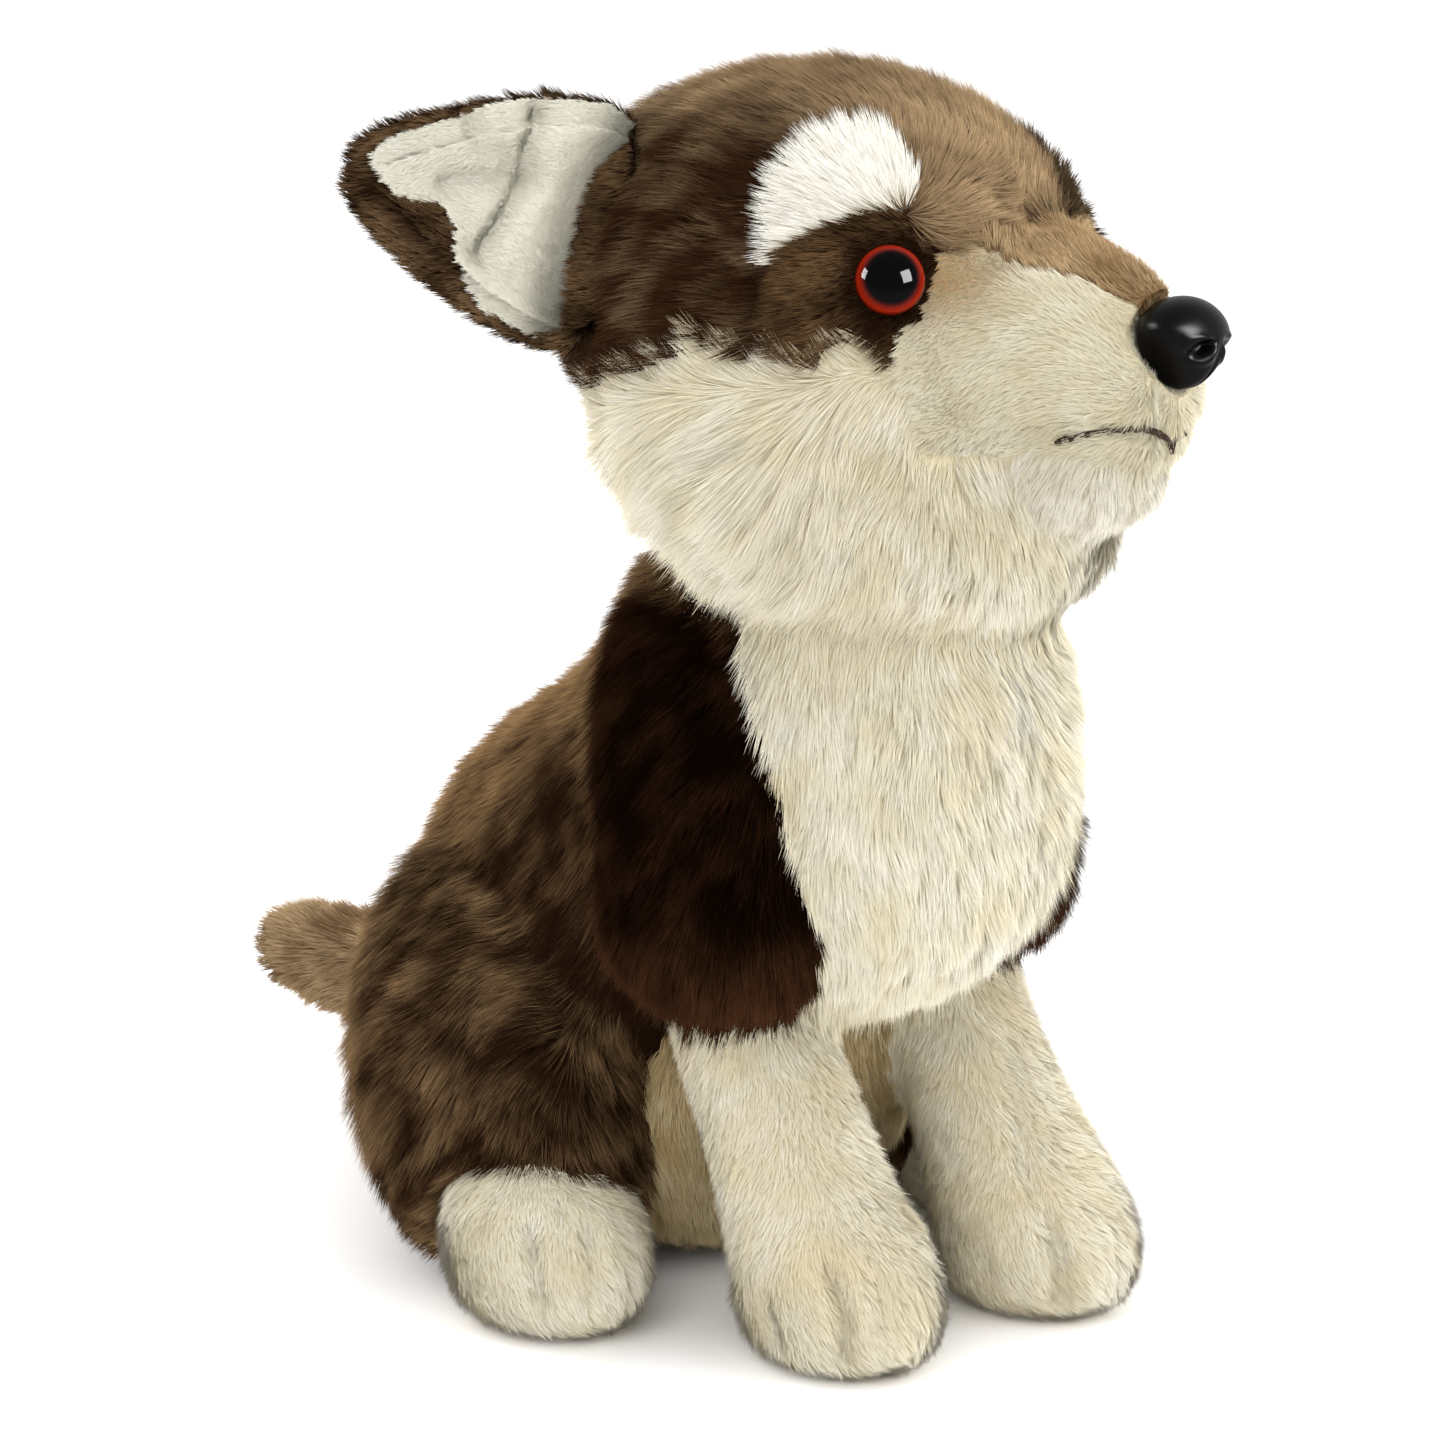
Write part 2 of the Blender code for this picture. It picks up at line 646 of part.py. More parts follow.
def make_eye(name, head, place):
    profile = [(radius, height + EYE_RIM) for radius, height in arc(EYE_RADIUS, EYE_DOME, EYE_DOME_STEPS)]
    profile += [(EYE_RADIUS, 0), (SHANK_RADIUS, -EYE_RIM)]
    profile += [(SHANK_RADIUS, -SHANK_LENGTH), (0, -SHANK_LENGTH)]
    return turned(name, profile, head, BLACK, place)


def make_washer(name, head, place):
    bore = SHANK_RADIUS + SEAM_GAP
    half = WASHER_THICKNESS / 2
    profile = [(bore, half), (WASHER_RADIUS, half), (WASHER_RADIUS, -half), (bore, -half)]
    return turned(name, profile, head, CLEAR, place, ring=True)


def make_stitch(head, muzzle):
    """The embroidered mouth line: a thread laid along the lip, from one corner to the other."""
    graph = bpy.context.evaluated_depsgraph_get()
    tree = BVHTree.FromObject(muzzle, graph)
    curve = bpy.data.curves.new("mouth_stitch", "CURVE")
    curve.dimensions = "3D"
    curve.bevel_depth = STITCH_RADIUS
    curve.bevel_resolution = 1
    curve.use_fill_caps = True
    spline = curve.splines.new("POLY")
    points = []
    for step in range(-MOUTH_STEPS, MOUTH_STEPS + 1):
        share = step / MOUTH_STEPS
        turn = share * MOUTH_HALF_ANGLE
        outward = Vector((math.sin(turn), -math.cos(turn), 0))
        start = Vector((0, -MOUTH_CENTRE, MOUTH_RISE - MOUTH_CORNER_DROP * abs(share)))
        points.append(tree.ray_cast(start + outward * REACH, -outward)[0])
    spline.points.add(len(points) - 1)
    for item, point in zip(spline.points, points):
        item.co = (*point, 1)
    guide = link("mouth_guide", curve, cutters, head)
    mesh = evaluated_mesh(guide)
    bpy.data.objects.remove(guide)
    bm = bmesh.new()
    bm.from_mesh(mesh)
    bmesh.ops.remove_doubles(bm, verts=bm.verts, dist=0.00001)
    bm.to_mesh(mesh)
    bm.free()
    mesh.materials.clear()
    return piece("mouth_stitch", mesh, head, THREAD)


def fit_head(pieces, skins):
    """Each piece that sits in or passes through another is given its room."""
    for name in pieces:
        if name not in ("form", "head_crown") and "cheek" not in name and "patch" not in name:
            clearance(pieces[name])
    muzzle, chin, bridge, nose = (pieces[name] for name in ("muzzle", "chin", "bridge_strip", "nose"))
    stitch, washer = pieces["mouth_stitch"], pieces["nose_washer"]
    hardware = [pieces[f"{word}_{part}"] for _, word in SIDES for part in ("eye", "eye_washer")]
    ears = [pieces[f"{word}_ear_{part}"] for _, word in SIDES for part in ("back", "lining")]
    make_room(bridge, nose, washer)
    make_room(muzzle, bridge, nose, washer, stitch)
    make_room(chin, muzzle, stitch)
    for skin in skins:
        make_room(skin, muzzle, bridge, chin)
    make_room(pieces["head_crown"], *hardware, *ears)
    for side, word in SIDES:
        make_room(pieces[f"{word}_eye_patch"], pieces[f"{word}_eye"], pieces[f"{word}_eye_washer"])
        make_room(pieces[f"{word}_cheek"], *ears)


def centre_on_floor(root, parts):
    """Moves the root so that the middle of the parts' box stands over the origin."""
    bpy.context.view_layer.update()
    graph = bpy.context.evaluated_depsgraph_get()
    corners = []
    for obj in parts:
        seen = obj.evaluated_get(graph)
        mesh = seen.to_mesh()
        corners += [seen.matrix_world @ vert.co for vert in mesh.vertices]
        seen.to_mesh_clear()
    for axis in (0, 1):
        values = [corner[axis] for corner in corners]
        root.location[axis] = -(min(values) + max(values)) / 2


clear_scene()
wolf = collection("plush_wolf")
cutters = collection("cutters")
wolf_root = bpy.data.objects.new("wolf_root", None)
wolf.objects.link(wolf_root)
head_turn = bpy.data.objects.new("head_turn", None)
wolf.objects.link(head_turn)
head_turn.parent = wolf_root
head_turn.location = (0, HEAD_BACK, HEAD_HEIGHT)
head_turn.rotation_euler = (0, HEAD_ROLL, HEAD_TURN)

floor_box = box("floor_cutter", (-REACH, -REACH, -REACH), (REACH, REACH, 0), wolf_root)
head_pieces, head_skins = make_head(head_turn)
head_pieces["mouth_stitch"] = make_stitch(head_turn, head_pieces["muzzle"])
body_pieces = make_body(wolf_root)
fit_head(head_pieces, head_skins)
fit_body(body_pieces, head_pieces["form"], floor_box)
all_pieces = [obj for obj in wolf.objects if obj.type == "MESH" and not obj.hide_render]
centre_on_floor(wolf_root, all_pieces)
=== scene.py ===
"""Scene of a seated plush wolf cub: stuffed cloth under a combed pile, safety eyes and a moulded nose."""

import math
from collections import namedtuple

import bmesh
import bpy
import numpy as np
from mathutils import Euler, Matrix, Vector
from mathutils.bvhtree import BVHTree
from mathutils.kdtree import KDTree


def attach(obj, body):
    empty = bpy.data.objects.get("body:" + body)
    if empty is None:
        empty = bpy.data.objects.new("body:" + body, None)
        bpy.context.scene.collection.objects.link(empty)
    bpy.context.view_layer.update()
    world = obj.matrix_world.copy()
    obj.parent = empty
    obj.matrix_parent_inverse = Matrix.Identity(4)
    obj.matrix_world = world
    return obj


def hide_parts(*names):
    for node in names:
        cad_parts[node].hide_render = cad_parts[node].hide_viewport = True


# The part's own modelling frame, before its box is centred, and the head's frame in it
SHIFT = np.array((0.00801, -0.08830, 0.0))
HEAD_CENTRE = np.array((0.0, 0.051, 0.2255)) + SHIFT
HEAD_TURN = math.radians(17)
HEAD_ROLL = math.radians(10)

# Camera, matched to the photograph
AZIMUTH = math.radians(-40)
ELEVATION = math.radians(16.5)
DISTANCE = 2.0
PIXELS_PER_METRE = 4300.0
FRAME_PIXELS = 1445
MIDDLE_PIXEL = FRAME_PIXELS / 2
SENSOR_WIDTH = 36.0
TARGET = np.array((0.0, 0.0794, 0.1273)) + SHIFT

# The light tent's strength at eye level and overhead, and how far its softboxes stand
TENT_LOW = 0.40
TENT_HIGH = 1.50
SOFTBOX_DISTANCE = 1.3

FLOOR_HALF = 6

# Softboxes: name, size, radiance, degrees to the camera's right and above the floor, and whether it only
# shows in gloss
SOFTBOXES = (
    ("front_softbox", 0.90, 1.9, -22, 45, False),
    ("right_softbox", 1.00, 2.0, 66, 24, False),
    ("left_rim_softbox", 0.80, 2.4, -118, 30, False),
    ("right_rim_softbox", 0.80, 2.4, 112, 30, False),
    ("right_window", 0.60, 120.0, 50, 27, True),
    ("left_window", 0.50, 96.0, -84, 24, True),
)

# The cloth form
VOXEL = 0.0020
CLOSING = 0.0005
CLOTH_SMOOTHING = 8
EAR_VOXEL = 0.0012
EAR_SMOOTHING = 12
INSET_PASSES = 4

# How squarely cloth has to face the photograph's camera, or its ear's front, to count as facing it
FACING_CAMERA = 0.02
FACING_FRONT = 0.05
FACING_PASSES = 12

STRANDS = 790000
SEED = 7

# How far the pile's light comes from above, because fibres pass light on to the underside
LIT_RISE = 0.42

# One kind of pile: length and root width in metres, strands for an equal area, angle off the cloth in
# degrees, clump spacing, pull towards the clump, how deep the cloth lies under the outline, and the
# colours of its roots, its darker tips and its lighter tips
# The roots are darker partly as the fur's own colour and partly as painted shade between the strands
Coat = namedtuple("Coat", "length width density lift clump pull inset root dark light kind")
COATS = {
    "head_crown": Coat(
        0.0080, 0.00034, 1.15, 27, 0.0036, 0.25, 0.0030,
        (34, 20, 11), (52, 32, 18), (200, 169, 128), "brown",
    ),
    "cheek": Coat(
        0.0140, 0.00028, 1.15, 17, 0.0060, 0.22, 0.0042,
        (210, 196, 158), (226, 216, 184), (246, 242, 230), "cream",
    ),
    "muzzle": Coat(
        0.0036, 0.00024, 2.0, 34, 0.0025, 0.15, 0.0014,
        (208, 196, 160), (224, 214, 184), (244, 240, 224), "cream",
    ),
    "bridge_strip": Coat(
        0.0038, 0.00027, 2.0, 34, 0.0025, 0.20, 0.0014,
        (100, 76, 50), (156, 126, 90), (216, 186, 142), "brown",
    ),
    "chin": Coat(
        0.0050, 0.00024, 1.7, 30, 0.0035, 0.25, 0.0018,
        (210, 200, 172), (226, 219, 198), (244, 241, 231), "cream",
    ),
    "eye_patch": Coat(
        0.0052, 0.00028, 1.7, 28, 0.0030, 0.25, 0.0018,
        (22, 13, 8), (44, 27, 15), (124, 96, 64), "brown",
    ),
    "brow_patch": Coat(
        0.0068, 0.00028, 1.5, 30, 0.0040, 0.18, 0.0030,
        (226, 218, 196), (246, 243, 233), (255, 254, 251), "cream",
    ),
    "torso": Coat(
        0.0085, 0.00036, 0.95, 27, 0.0042, 0.28, 0.0030,
        (27, 15, 8), (42, 25, 14), (200, 160, 112), "brown",
    ),
    "thigh": Coat(
        0.0095, 0.00035, 1.05, 27, 0.0050, 0.35, 0.0032,
        (22, 13, 7), (48, 30, 17), (164, 132, 94), "brown",
    ),
    "shoulder_sleeve": Coat(
        0.0090, 0.00035, 1.05, 26, 0.0045, 0.30, 0.0030,
        (8, 3, 1), (16, 7, 3), (74, 47, 30), "brown",
    ),
    "chest_bib": Coat(
        0.0088, 0.00029, 1.1, 24, 0.0050, 0.20, 0.0034,
        (220, 206, 166), (240, 231, 200), (254, 252, 243), "cream",
    ),
    # The belly's cream is darkened: painted shade between the thighs
    "belly": Coat(
        0.0055, 0.00034, 1.1, 30, 0.0040, 0.25, 0.0020,
        (150, 126, 82), (172, 148, 102), (214, 198, 160), "cream",
    ),
    "front_leg": Coat(
        0.0042, 0.00025, 1.6, 30, 0.0030, 0.20, 0.0018,
        (220, 205, 166), (238, 228, 197), (253, 250, 238), "cream",
    ),
    "hind_paw": Coat(
        0.0042, 0.00025, 1.6, 30, 0.0030, 0.20, 0.0018,
        (220, 207, 170), (240, 231, 203), (253, 250, 240), "cream",
    ),
    "tail": Coat(
        0.0062, 0.00033, 1.3, 28, 0.0036, 0.25, 0.0022,
        (62, 44, 28), (116, 90, 62), (210, 180, 138), "brown",
    ),
    "ear_back": Coat(
        0.0044, 0.00030, 1.6, 32, 0.0030, 0.25, 0.0012,
        (28, 17, 9), (48, 31, 18), (150, 120, 86), "brown",
    ),
    "ear_lining": Coat(
        0.0018, 0.00023, 2.6, 34, 0.0015, 0.10, 0.0008,
        (230, 226, 206), (243, 239, 222), (254, 252, 242), "cream",
    ),
}
# Where a coat's tips lie between dark and light, from 0 to 1, and how far they wander from there
TIP_SHARES = {
    "head_crown": (0.02, 0.45), "torso": (0.01, 0.35), "thigh": (0.18, 0.9), "shoulder_sleeve": (0.12, 0.7),
}
# The tan on the white cloth: soft stains, the cheek's top edge, and beside the eye
STAIN = (224, 200, 150)
CHEEK_EDGE = (176, 148, 108)
AIRBRUSH = (192, 145, 88)

SIDED = ("cheek", "eye_patch", "brow_patch", "thigh", "shoulder_sleeve", "front_leg", "hind_paw")
SINGLE = ("torso", "chest_bib", "belly", "tail", "head_crown", "muzzle", "bridge_strip", "chin")
SIDES = ((-1, "right"), (1, "left"))

# How far a pixel that misses the form steps towards the middle of its path, one try after the other
PICK_STEPS = np.arange(12) * 0.05

# Ear: the part's own frame for it, and what the photograph shows on it, in the photograph's pixels
EAR_BASE = np.array((0.050, -0.033, 0.022))
EAR_ALONG = np.array((0.755, -0.60, 0.18))
EAR_ACROSS = np.array((-0.27, 0.19, 0.94))
LINING_OUTLINE = (
    (373, 155), (388, 141), (426, 127), (468, 115), (503, 97), (549, 85), (583, 87), (618, 104),
    (650, 124), (630, 148), (602, 178), (586, 226), (576, 284), (562, 334), (537, 337), (514, 327),
    (484, 310), (465, 280), (456, 257), (459, 230), (453, 215), (442, 203), (419, 201), (396, 192),
    (378, 173),
)
EAR_TUCKS = (
    ((545, 116), (537, 146), (533, 184), (526, 195), (507, 226), (489, 252)),
    ((533, 184), (514, 182), (484, 180), (450, 184)),
    ((478, 122), (491, 142), (514, 163)),
    ((625, 150), (596, 190), (578, 240), (566, 300)),
)
LINING_SHADE = 0.80
LINING_SHADE_AXIS = np.array((0.93, 0.37))
LINING_SHADE_BAND = (588, 646)
TUCK_SIZES = ((0.0030, 0.0046), (0.0028, 0.0026), (0.0030, 0.0026), (0.0070, 0.0040))

# A sole rests on the floor: it has no pile below this height, and no strand's tip reaches lower than this
SOLE = 0.0015
DOWNWARD = -0.9
LOWEST_TIP = 0.0004
# Strands start this far from an eye, the nose or an ear, and reach full length between the two distances
CLEAR_OF_PARTS = 0.0011
SHORT_BESIDE_PARTS = (0.001, 0.008)
SHORTEST_BESIDE_PARTS = 0.45
SEARCH_REACH = 0.012

# Tucks and creases on the cloth, in the photograph's pixels: path, half width, depth, and whether it has
# a twin across the head or across the body. The left hind paw is hidden, and has the right one's toes
CREASES = (
    (((824, 1265), (838, 1299), (839, 1330), (835, 1362)), 0.0028, 0.0042, ""),
    (((752, 1296), (756, 1316), (764, 1340)), 0.0030, 0.0022, ""),
    (((880, 1278), (885, 1300), (884, 1326)), 0.0030, 0.0022, ""),
    (((1047, 1216), (1057, 1262), (1052, 1306)), 0.0028, 0.0036, ""),
    (((1016, 1030), (1016, 1100), (1020, 1150), (1047, 1216)), 0.0026, 0.0014, ""),
    (((525, 1222), (529, 1262), (531, 1300)), 0.0026, 0.0032, "body"),
    (((590, 1224), (596, 1262), (592, 1296)), 0.0026, 0.0022, "body"),
    (((765, 270), (757, 315), (752, 352)), 0.0034, 0.0026, "head"),
    (((996, 196), (1022, 206), (1046, 214)), 0.0036, 0.0030, ""),
    (((926, 446), (990, 446), (1060, 441), (1110, 433), (1160, 432)), 0.0022, 0.0020, "head"),
    (((1168, 398), (1171, 420), (1172, 446)), 0.0024, 0.0024, ""),
)
MOUTH_PATH = (
    (1058, 441), (1077, 437), (1102, 431), (1125, 430), (1144, 428), (1159, 433), (1169, 441), (1172, 451),
)

# The face's pattern, in the photograph's pixels. The left side mirrors it
BROW_OUTLINE = (
    (771, 257), (766, 202), (771, 172), (785, 157), (805, 136), (822, 123), (846, 119), (871, 115),
    (895, 122), (909, 139), (914, 157), (922, 166), (924, 186), (917, 198), (893, 204), (850, 217),
    (805, 233), (785, 241),
)
EYE_PATCH_OUTLINE = (
    (768, 262), (760, 284), (757, 325), (771, 337), (797, 350), (816, 366), (828, 343), (848, 335),
    (862, 330), (880, 350), (897, 366), (902, 341), (908, 326), (926, 315), (936, 294), (940, 270),
    (942, 252), (921, 228), (908, 206), (893, 206), (850, 217), (805, 233), (785, 241),
)
MUZZLE_OUTLINE = (
    (946, 250), (940, 270), (936, 294), (926, 315), (908, 326), (902, 341), (900, 362), (912, 384),
    (924, 410), (928, 445), (1100, 460), (1150, 300), (1131, 305), (1115, 292), (1082, 276),
    (1060, 270), (1036, 268), (1011, 260), (995, 249), (977, 241), (958, 243),
)
BRIDGE_OUTLINE = (
    (972, 222), (990, 218), (1012, 224), (1038, 229), (1105, 238), (1160, 250), (1210, 285),
    (1215, 310), (1150, 312), (1131, 305), (1115, 292), (1082, 276), (1060, 270), (1036, 268),
    (1011, 260), (995, 249), (977, 241),
)
CHEEK_TOP = (
    (540, 396), (560, 396), (611, 376), (648, 366), (678, 352), (694, 334), (716, 344), (748, 356),
    (768, 347), (790, 362), (812, 366), (830, 350), (852, 335), (879, 345), (897, 360), (906, 325),
    (1200, 325),
)

MUZZLE_TAN = np.array((940.0, 268.0))
MUZZLE_TAN_REACH = np.array((120.0, 84.0))

# The seam between crown and cheek behind them: its height at the head's centre, and its tilt
CHEEK_SEAM = (-0.007, math.radians(-13))
# The seam wavers: height, wavelength and seed
SEAM_WAVES = ((0.0035, 0.011, 51), (0.0030, 0.024, 52))

# How far behind and below the head's centre the photograph's pattern is followed
FACE_DEPTH = 0.030

# Eyes, nose and mouth: places, sizes, and the colours of an iris and of the thread by their share
EYE_CENTRE = np.array((0.0425, -0.048, 0.020))
BROW_CENTRE = np.array((0.036, -0.045, 0.033))
EYE_RADIUS = 0.0078
EYE_DOME = 0.0058
EYE_SEAT = 0.0085
IRIS = (
    (0.0, (1, 1, 1)), (0.70, (2, 1, 1)), (0.76, (44, 4, 2)), (0.85, (112, 18, 5)), (0.93, (138, 30, 8)),
    (1.0, (46, 6, 3)),
)
THREAD = ((0.0, (26, 15, 11)), (1.0, (66, 45, 35)))
NOSE_PLACE = (0.0, -0.098, 0.012)
NOSE_HALF = (0.0132, 0.0112, 0.0098)

# On the nose, as shares of its half size: a nostril's place, its depth and rim, and the middle groove
NOSTRIL = (0.50, -0.10)
NOSTRIL_DEPTH = 0.36
RIM_HEIGHT = 0.05
GROOVE_DEPTH = 0.10

# Stitches of the mouth: spacing, half thickness, half length, slant, and how far they stand off the cloth
STITCH_STEP = 0.0008
STITCH_HALF = (0.00060, 0.00060, 0.0014, 1)
STITCH_SLANT = 0.0006
STITCH_REACH = 0.0011
STITCH_LIFT = 0.0011


def linear(colours):
    """Colours read by eye, 0 to 255, as linear values."""
    values = np.asarray(colours, dtype=float) / 255
    return np.where(values <= 0.04045, values / 12.92, ((values + 0.055) / 1.055) ** 2.4)


def unit(vectors):
    lengths = np.linalg.norm(vectors, axis=-1, keepdims=True)
    return vectors / np.maximum(lengths, 1e-9)


def ramp(values, low, high):
    """0 below low, 1 above high, and smooth between."""
    share = np.clip((values - low) / (high - low), 0, 1)
    return share * share * (3 - 2 * share)


def drift(points, wavelength, seed, waves=7):
    """A smooth wandering value between about -1 and 1, the same for the same seed."""
    rng = np.random.default_rng(seed)
    directions = unit(rng.normal(size=(waves, 3)))
    scales = math.tau / (wavelength * rng.uniform(0.7, 1.4, waves))
    phases = rng.uniform(0, math.tau, waves)
    return np.sin(points @ (directions * scales[:, None]).T + phases).mean(axis=1) * 1.9


HEAD_TURNING = np.array(Euler((0, HEAD_ROLL, HEAD_TURN)).to_matrix())


def to_head(points):
    return (points - HEAD_CENTRE) @ HEAD_TURNING


def from_head(points):
    return np.asarray(points) @ HEAD_TURNING.T + HEAD_CENTRE


def head_vector(vectors):
    return np.asarray(vectors) @ HEAD_TURNING.T


VIEW_FORWARD = np.array((
    -math.sin(AZIMUTH) * math.cos(ELEVATION),
    math.cos(AZIMUTH) * math.cos(ELEVATION),
    -math.sin(ELEVATION),
))
VIEW_RIGHT = unit(np.cross(VIEW_FORWARD, (0, 0, 1)))
VIEW_UP = np.cross(VIEW_RIGHT, VIEW_FORWARD)
VIEW_POINT = TARGET - VIEW_FORWARD * DISTANCE


def make_camera():
    camera = bpy.data.objects.new("camera", bpy.data.cameras.new("camera"))
    bpy.context.scene.collection.objects.link(camera)
    camera.location = VIEW_POINT
    camera.rotation_euler = Vector(VIEW_FORWARD).to_track_quat("-Z", "Y").to_euler()
    camera.data.sensor_width = SENSOR_WIDTH
    camera.data.lens = SENSOR_WIDTH * DISTANCE * PIXELS_PER_METRE / FRAME_PIXELS
    camera.data.clip_end = 50
    bpy.context.scene.camera = camera


def pixel_direction(x, y):
    across = (x - MIDDLE_PIXEL) / (DISTANCE * PIXELS_PER_METRE)
    up = (MIDDLE_PIXEL - y) / (DISTANCE * PIXELS_PER_METRE)
    return unit(VIEW_FORWARD + VIEW_RIGHT * across + VIEW_UP * up)


def photo_pixels(points):
    """Where the photograph's camera sees points."""
    rays = points - VIEW_POINT
    scale = DISTANCE * PIXELS_PER_METRE / (rays @ VIEW_FORWARD)
    across, down = rays @ VIEW_RIGHT * scale, -(rays @ VIEW_UP) * scale
    return np.stack((MIDDLE_PIXEL + across, MIDDLE_PIXEL + down), axis=1)


def near_side(points, normals):
    """The right-hand twins of points on the head, and which of them face the photograph's camera."""
    flip = np.where(to_head(points)[:, 0] > 0, -1.0, 1.0)[:, None] ** np.array((1, 0, 0))
    twins = from_head(to_head(points) * flip)
    turned = head_vector(normals @ HEAD_TURNING * flip)
    return twins, turned @ VIEW_FORWARD < -FACING_CAMERA


def pick(tree, pixels):
    """Where the photograph's pixels fall on a form. One that misses it steps towards the others' middle."""
    pixels = np.asarray(pixels, dtype=float)
    middle = pixels.mean(axis=0)
    found = []
    for pixel in pixels:
        for share in PICK_STEPS:
            x, y = pixel + (middle - pixel) * share
            hit = tree.ray_cast(Vector(VIEW_POINT), Vector(pixel_direction(x, y)))[0]
            if hit is not None:
                found.append(hit)
                break
    return np.array(found)


def read_node(node):
    """Welded corners and triangles of a node's solid."""
    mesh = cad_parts[node].data
    mesh.calc_loop_triangles()
    verts = np.empty(len(mesh.vertices) * 3)
    mesh.vertices.foreach_get("co", verts)
    triangles = np.empty(len(mesh.loop_triangles) * 3, dtype=np.int64)
    mesh.loop_triangles.foreach_get("vertices", triangles)
    verts, back = np.unique(np.round(verts.reshape(-1, 3), 7), axis=0, return_inverse=True)
    return verts, back.reshape(-1)[triangles].reshape(-1, 3)


def corner_normals(verts, faces):
    """Area-weighted normals of triangles or quads."""
    first = verts[faces[:, 2]] - verts[faces[:, 0]]
    second = verts[faces[:, -1]] - verts[faces[:, 1]]
    if faces.shape[1] == 3:
        first = verts[faces[:, 1]] - verts[faces[:, 0]]
        second = verts[faces[:, 2]] - verts[faces[:, 0]]
    cross = np.cross(first, second)
    normals = np.zeros_like(verts)
    for column in range(faces.shape[1]):
        np.add.at(normals, faces[:, column], cross)
    return unit(normals)


def build_mesh(name, verts, loops, starts):
    mesh = bpy.data.meshes.new(name)
    mesh.vertices.add(len(verts))
    mesh.vertices.foreach_set("co", np.ascontiguousarray(verts, dtype=np.float32).ravel())
    mesh.loops.add(len(loops))
    mesh.loops.foreach_set("vertex_index", loops.astype(np.int32))
    mesh.polygons.add(len(starts))
    mesh.polygons.foreach_set("loop_start", starts.astype(np.int32))
    mesh.update(calc_edges=True)
    mesh.shade_smooth()
    return mesh


def smooth_mesh(name, bm):
    mesh = bpy.data.meshes.new(name)
    bm.to_mesh(mesh)
    bm.free()
    mesh.shade_smooth()
    return mesh


def place_piece(name, mesh, material, nodes):
    obj = bpy.data.objects.new(name, mesh)
    bpy.context.scene.collection.objects.link(obj)
    mesh.materials.append(material)
    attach(obj, "root")
    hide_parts(*nodes)
    return obj


def paint(mesh, colours):
    layer = mesh.color_attributes.new("pile_colour", "FLOAT_COLOR", "POINT")
    rgba = np.ones((len(colours), 4), dtype=np.float32)
    rgba[:, :3] = colours
    layer.data.foreach_set("color", rgba.ravel())


def average(values, quads, passes):
    """Spreads a value over a form's neighbouring corners."""
    count = len(values)
    edges = np.concatenate((quads[:, (0, 1)], quads[:, (1, 2)]))
    both = np.concatenate((edges, edges[:, ::-1]))
    degree = np.bincount(both[:, 0], minlength=count) + 1
    for _ in range(passes):
        total = np.bincount(both[:, 0], weights=values[both[:, 1]], minlength=count)
        values = (values + total) / degree
    return values


def largest_shell(verts, quads):
    labels = np.arange(len(verts))
    while True:
        before = labels.copy()
        lowest = labels[quads].min(axis=1)
        for column in range(4):
            np.minimum.at(labels, quads[:, column], lowest)
        labels = labels[labels]
        if (labels == before).all():
            break
    kept_label = np.bincount(labels).argmax()
    keep = labels == kept_label
    new_index = np.cumsum(keep) - 1
    return verts[keep], new_index[quads[keep[quads[:, 0]]]]


def one_skin(nodes, voxel, smoothing):
    """The nodes' solids as one closed form of quads, with their seam gaps closed."""
    all_verts, all_faces, count = [], [], 0
    for node in nodes:
        verts, triangles = read_node(node)
        all_verts.append(verts + corner_normals(verts, triangles) * CLOSING)
        all_faces.append(triangles + count)
        count += len(verts)
    triangles = np.concatenate(all_faces)
    starts = np.arange(len(triangles)) * 3
    mesh = build_mesh("rough_skin", np.concatenate(all_verts), triangles.ravel(), starts)
    obj = bpy.data.objects.new("rough_skin", mesh)
    bpy.context.scene.collection.objects.link(obj)
    remesh = obj.modifiers.new("remesh", "REMESH")
    remesh.mode = "VOXEL"
    remesh.voxel_size = voxel
    relax = obj.modifiers.new("relax", "SMOOTH")
    relax.factor = 0.5
    relax.iterations = smoothing
    bpy.context.view_layer.update()
    graph = bpy.context.evaluated_depsgraph_get()
    result = bpy.data.meshes.new_from_object(obj.evaluated_get(graph))
    verts = np.empty(len(result.vertices) * 3)
    result.vertices.foreach_get("co", verts)
    quads = np.empty(len(result.loops), dtype=np.int64)
    result.loops.foreach_get("vertex_index", quads)
    bpy.data.objects.remove(obj)
    bpy.data.meshes.remove(mesh)
    bpy.data.meshes.remove(result)
    return largest_shell(verts.reshape(-1, 3), quads.reshape(-1, 4))


def nearest_node(points, nodes):
    """The index of the node whose solid lies closest to each point."""
    verts, faces, owners, count = [], [], [], 0
    for index, node in enumerate(nodes):
        node_verts, triangles = read_node(node)
        verts += node_verts.tolist()
        faces += (triangles + count).tolist()
        owners += [index] * len(triangles)
        count += len(node_verts)
    tree = BVHTree.FromPolygons(verts, faces)
    found = [tree.find_nearest(Vector(point))[2] for point in points]
    return np.array(owners)[np.array(found)]


def path_distance(points, path):
    """How far each point is from a path of straight runs."""
    best = np.full(len(points), 1e9)
    for start, end in zip(path[:-1], path[1:]):
        run = end - start
        share = np.clip((points - start) @ run / (run @ run), 0, 1)
        best = np.minimum(best, np.linalg.norm(points - start - share[:, None] * run, axis=1))
    return best


def tree_of(verts, quads):
    return BVHTree.FromPolygons(verts.tolist(), quads.tolist())


def coat_of(node):
    for _, word in SIDES:
        if node.startswith(word + "_"):
            return COATS[node[len(word) + 1 :]]
    return COATS[node]


def mirrored_in_head(points):
    return from_head(to_head(points) * np.array((-1, 1, 1)))


def mirrored_in_body(points):
    return points * np.array((-1, 1, 1)) + np.array((2 * SHIFT[0], 0, 0))


